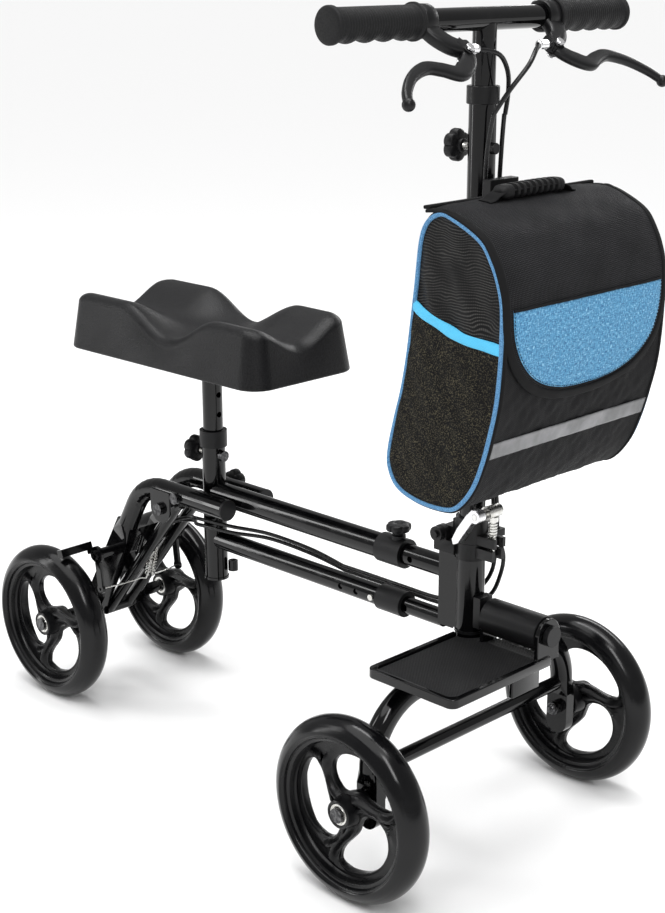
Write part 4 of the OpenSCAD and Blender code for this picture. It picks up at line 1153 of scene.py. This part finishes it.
knob("length_knob", at(-103, 0, 323.5), "z", 14.2, 9, 3, 11.2)
knob("frame_knob", at(-427, 46.8, 296), "y", 16, 12, 3.5, 31)
knob("seat_knob", at(-432, 0, 348), "-x", 16.5, 12, 3.5, 14.4)
knob("column_knob", at(-26, 0, 740), "-x", 16, 12, 3.5, 13.9)

# %% [markdown]
# ## Grips
# Each grip is a rubber sleeve with finger hollows underneath, fine rings on top, a collar at the
# inner end and a rounded cap. It is a turned shape whose radius also changes round the bar.

# %% Grips
def grip(s):
    """Radius = sleeve + hollows(along) x underside(angle) + rings(along) x top(angle)."""
    y = np.array(sorted(set(np.r_[np.linspace(99, 210, 223), 99.01, 102.4, 205.6])))
    a = np.linspace(0, 2 * np.pi, 96, endpoint=False)[:, None]
    under = np.clip(np.sin(-a), 0, 1) ** 1.2
    top = np.clip(np.sin(a), 0, 1) ** 0.7
    part = np.clip((y - 106) / 5, 0, 1) * np.clip((200 - y) / 5, 0, 1)
    fingers = -1.3 * np.cos(2 * np.pi * (y - 104) / 24.0) * part
    rings = -0.55 * (np.sin(2 * np.pi * y / 3.4) < -0.15) * part
    sleeve = 15.2 - 0.2 * part
    collar = np.interp(y, [99, 99.6, 102.2, 103.6, 204, 205.6, 208.6, 210],
                       [16.6, 17.4, 17.4, 15.2, 15.2, 16.9, 16.9, 15.6])
    rad = np.maximum(sleeve, np.where((y < 103.6) | (y > 204), collar, 0))
    rad = rad[None] + under * fingers[None] + (0.35 + 0.65 * top) * rings[None]
    outer = np.stack([rad * np.cos(a), y[None] + 0 * rad, rad * np.sin(a)], -1)

    def round_the_bar(q):
        q = np.asarray(q)[None]
        return np.stack([q[..., 0] * np.cos(a), q[..., 1] + 0 * a, q[..., 0] * np.sin(a)], -1)

    cap = round_the_bar([[13.0, 210.6], [6.0, 210.9], [0.0, 211.0]])
    tube = round_the_bar([[0.0, 206.6], [11.05, 206.5], [11.05, 99.4], [12.5, 98.9], [15.0, 98.9]])
    g = np.concatenate([tube, outer, cap], 1) / 1000
    g[..., 1] *= s
    return g + at(0, 0, 859)


for hand, s in (("right", -1), ("left", 1)):
    ob = sheet_of(f"grip_{hand}", grip(s), "grip_rubber", True, False, sharp=50)
    finish_piece(turned_out(ob), "stem", "grip_rubber", "grips")

# %% [markdown]
# ## Brake levers
# A lever is a flat casting that bends away from the bar and back, so that two fingers reach it. Its
# section is carried along a centre line drawn in the lever's own sloping plane.

# %% Levers and their perches
SLOPE = math.radians(40)


def from_plane(q, s):
    """Points given in the lever's plane (forward, along the bar, out of the plane), in the frame."""
    u, y, n = q[..., 0], q[..., 1], q[..., 2]
    x = u * math.cos(SLOPE) + n * math.sin(SLOPE)
    z = -u * math.sin(SLOPE) + n * math.cos(SLOPE) + 859
    return np.stack([x / 1000 + COL, s * y / 1000, z / 1000], -1)


def flat(points):
    return np.array([[u, y, 0.0] for u, y in points])


def turned(profile, centre, along_y=False, sides=40):
    """A turned piece in the lever's plane, its axis out of the plane or along the bar."""
    q = np.asarray(profile, float)
    a = np.linspace(0, 2 * np.pi, sides, endpoint=False)[:, None]
    r, h = q[None, :, 0], q[None, :, 1] + 0 * a
    parts = [r * np.cos(a), h, r * np.sin(a)] if along_y else [r * np.cos(a), r * np.sin(a), h]
    return np.stack(parts, -1) + np.asarray(centre, float)


def joined(name, grids, s, paint, body, slot, *replaced, sharp=45):
    """Several closed grids as one piece: each is (grid, loops along, loops round, has end faces)."""
    verts, faces = [], []
    for g, lu, lv, ends in grids:
        start = sum(map(len, verts))
        n, m = g.shape[:2]
        faces += quads(n, m, lu, lv, start).tolist()
        if ends:
            faces += [list(range(start, start + m))[::-1], list(range(start + (n - 1) * m, start + n * m))]
        verts.append(from_plane(g, s).reshape(-1, 3))
    ob = mesh_of(name, np.vstack(verts), faces, paint, sharp=sharp)
    return finish_piece(turned_out(ob), body, slot, *replaced)


for hand, s in (("right", -1), ("left", 1)):
    line = spline(flat([(46, 66), (52, 70), (60, 80), (67, 96), (61, 114), (58, 133), (67, 157),
                        (83, 177), (97, 187)]), 1.5)
    t = np.linspace(0, 1, len(line))
    wide = np.interp(t, [0, 0.15, 0.38, 0.7, 1], [8.0, 9.2, 7.2, 5.4, 4.2])
    blade = carried(line, np.interp(t, [0, 0.6, 1], [4.6, 4.2, 3.6]), wide, 24, 3.0, across=(0, 0, 1))
    a = np.linspace(-np.pi / 2, np.pi / 2, 17)
    ball = turned(np.stack([6 * np.cos(a), 6 * np.sin(a)], 1), (98, 187.5, 0))
    boss = turned([(2.6, -3.8), (5.2, -3.8), (5.6, -3.4), (5.6, 3.4), (5.2, 3.8), (2.6, 3.8)], (44, 66, 0))
    parts = [(blade, False, True, True), (ball, True, False, False), (boss, True, True, False)]
    joined(f"brake_lever_{hand}_cast", parts, s, "satin_casting", f"brake_lever_{hand}", "black_plastic", f"brake_lever_{hand}")
    clamp = [(11.1, 83), (14.6, 82), (15.4, 83.2), (15.6, 90), (15.4, 96.8), (14.6, 98), (11.1, 97)]
    clamp = turned(clamp, (0, 0, 0), True, 72)
    arm = spline(flat([(10, 90), (18, 88.5), (26, 84), (33, 77), (37, 68), (37.5, 60)]), 1.2)
    thick, wide = np.linspace(6.4, 6.8, len(arm)), np.linspace(11.5, 7.6, len(arm))
    arm = carried(arm, thick, wide, 28, 3.2, across=(0, 0, 1))
    jaw = []
    for n in (-1, 1):
        j = spline(flat([(32, 72), (38, 68), (44, 66), (48, 65)]) + [0, 0, 5.6 * n], 1.0)
        j = carried(j, 1.4, np.linspace(6.2, 4.6, len(j)), 20, 3.0, across=(0, 0, 1))
        jaw.append((j, False, True, True))
    ear = spline(flat([(-13, 86), (-16, 90), (-13, 95)]), 1.0)
    ear = carried(ear, 3.6, 3.6, 16, 2.6, across=(0, 0, 1))
    parts = [(clamp, True, True, False), (arm, False, True, True), (ear, False, True, True)] + jaw
    joined(f"lever_perch_{hand}", parts, s, "satin_casting", "stem", "black_plastic", "lever_perches")
    barrel = [(2.4, 44.4), (3.4, 44.2), (4.0, 45), (4.2, 47)]
    barrel += [(4.6 if k % 2 else 3.9, 47.6 + 0.8 * k) for k in range(12)]
    barrel += [(4.0, 57.6), (4.0, 60.5), (2.4, 60.5)]
    screw = [(0, -9.8), (3.9, -9.8), (4.3, -9.3), (4.3, -7.6), (2.4, -7.5), (2.4, 7.5), (4.3, 7.6),
             (4.3, 9.3), (3.9, 9.8), (0, 9.8)]
    joined(f"lever_adjuster_{hand}", [(turned(barrel, (38, 0, 0), True), True, True, False),
                                      (turned(screw, (44, 66, 0)), True, False, False)],
           s, "lever_metal", "stem", "zinc_hardware", sharp=30)
print("knobs, grips and levers made")

# %% [markdown]
# ## Softened castings
# Folded plates and castings have small radii that catch the light. A merged copy of the solid with a
# fine bevel shows them, and keeps every size. The solid itself stays hidden underneath for motion.


# %% Bevelled copies
def softened(node, width, paint, corner=0.0, segments=2, angle=32):
    """A merged copy of a solid with bevelled edges. corner rounds the two upright corners of a plate
    that stand at its right-hand end."""

    me = nodes[node].data.copy()
    me.name = f"{node}_soft"
    bm = bmesh.new()
    bm.from_mesh(me)
    bmesh.ops.remove_doubles(bm, verts=bm.verts, dist=2e-5)
    bmesh.ops.dissolve_limit(bm, angle_limit=math.radians(1.5), verts=bm.verts, edges=bm.edges)
    if corner:
        ends = [e for e in bm.edges if (e.verts[0].co - e.verts[1].co).xy.length < 1e-5
                and e.verts[0].co.y < -0.142 and e.calc_length() > 0.002]
        bmesh.ops.bevel(bm, geom=ends, offset=corner, segments=6, profile=0.5, affect="EDGES",
                        clamp_overlap=True)
    bm.to_mesh(me)
    bm.free()
    me.materials.clear()
    me.materials.append(paints[paint])
    me.polygons.foreach_set("use_smooth", np.ones(len(me.polygons), bool))
    me.set_sharp_from_angle(angle=math.radians(40))
    ob = bpy.data.objects.new(f"{node}_soft", me)
    bpy.context.scene.collection.objects.link(ob)
    b = ob.modifiers.new("edges", "BEVEL")
    b.width, b.segments, b.limit_method, b.angle_limit = width, segments, "ANGLE", math.radians(angle)
    b.harden_normals, b.miter_outer = False, "MITER_ARC"
    body = next(k for k, v in frame["record"]["behaviour"]["bodies"].items() if node in v)
    slot = next(v["material_slot"] for v in frame["record"]["subparts"] if v["node"] == node)
    return finish_piece(ob, body, slot, node)


for node, width, paint, *corner in (
    ("footplate", 0.0009, "black_enamel", 0.009),
    ("footplate_mat", 0.0007, "mat_rubber", 0.005),
    ("head_casting", 0.0010, "satin_casting"),
    ("fold_casting", 0.0010, "satin_casting"),
    ("frame_brackets", 0.0008, "black_enamel"),
    ("brake_arm_right", 0.0008, "black_enamel"),
    ("brake_arm_left", 0.0008, "black_enamel"),
    ("latch_lever", 0.0010, "lever_metal"),
    ("column_fittings", 0.0008, "satin_casting"),
    ("cable_stops", 0.0005, "black_enamel"),
    ("frame_collars", 0.0008, "black_plastic"),
):
    softened(node, width, paint, *corner)
print("castings softened")

# %% [markdown]
# ## Floor, light and camera
# A pale floor and large soft lights leave one clean streak along each tube. The camera stands where
# it sees the scooter from the front right and a little above.

# %% Stage
me = bpy.data.meshes.new("floor")
me.from_pydata([(-60, -60, 0), (60, -60, 0), (60, 60, 0), (-60, 60, 0)], [], [(0, 1, 2, 3)])
floor = bpy.data.objects.new("floor", me)
bpy.context.scene.collection.objects.link(floor)
paint = bpy.data.materials.new("pale floor")
paint.use_nodes = True
skin = paint.node_tree.nodes["Principled BSDF"]
skin.inputs["Base Color"].default_value = (0.94, 0.94, 0.94, 1)
skin.inputs["Roughness"].default_value = 0.9
skin.inputs["Specular IOR Level"].default_value = 0.1
me.materials.append(paint)

world = bpy.data.worlds.new("studio")
world.use_nodes = True
bpy.context.scene.world = world
world.node_tree.nodes["Background"].inputs[0].default_value = (1, 1, 1, 1)
world.node_tree.nodes["Background"].inputs[1].default_value = 0.42
bpy.context.scene.view_settings.view_transform = "Standard"


def light(name, place, aim, size, power):
    """A rectangular soft light at a place, turned to face its aim."""
    data = bpy.data.lights.new(name, "AREA")
    data.shape, data.size, data.size_y, data.energy = "RECTANGLE", size[0], size[1], power
    ob = bpy.data.objects.new(name, data)
    ob.location = place
    ob.rotation_euler = (Vector(aim) - Vector(place)).to_track_quat("-Z", "Y").to_euler()
    bpy.context.scene.collection.objects.link(ob)


light("key", (1.7, -1.2, 2.4), (0, 0, 0.4), (0.5, 1.6), 30)
light("left strip", (-1.9, -1.7, 1.3), (-0.1, 0, 0.35), (0.25, 2.2), 16)
light("top", (0.0, 0.3, 2.8), (0, 0, 0.4), (2.4, 0.4), 26)
light("rim", (-0.4, 2.4, 1.5), (0, 0, 0.5), (2.0, 0.4), 16)
data = bpy.data.lights.new("ceiling", "SUN")
data.energy, data.angle = 1.9, math.radians(60)
ceiling = bpy.data.objects.new("ceiling", data)
ceiling.rotation_euler = (math.radians(8), math.radians(-6), 0)
bpy.context.scene.collection.objects.link(ceiling)

# %% Camera
data = bpy.data.cameras.new("view")
camera = bpy.data.objects.new("view", data)
bpy.context.scene.collection.objects.link(camera)
bpy.context.scene.camera = camera
data.sensor_fit, data.sensor_width, data.sensor_height = "AUTO", 36, 36
data.lens, data.shift_x, data.shift_y = 66.29, -0.01668, 0.06836
data.clip_start, data.clip_end = 0.05, 40
aim = Matrix.Rotation(math.radians(44.39), 4, "Z") @ Matrix.Rotation(math.radians(90 - 18.84), 4, "X")
aim = aim @ Matrix.Rotation(math.radians(0.05), 4, "Z")
camera.matrix_world = Matrix.Translation((1.3495, -1.268, 0.924)) @ aim
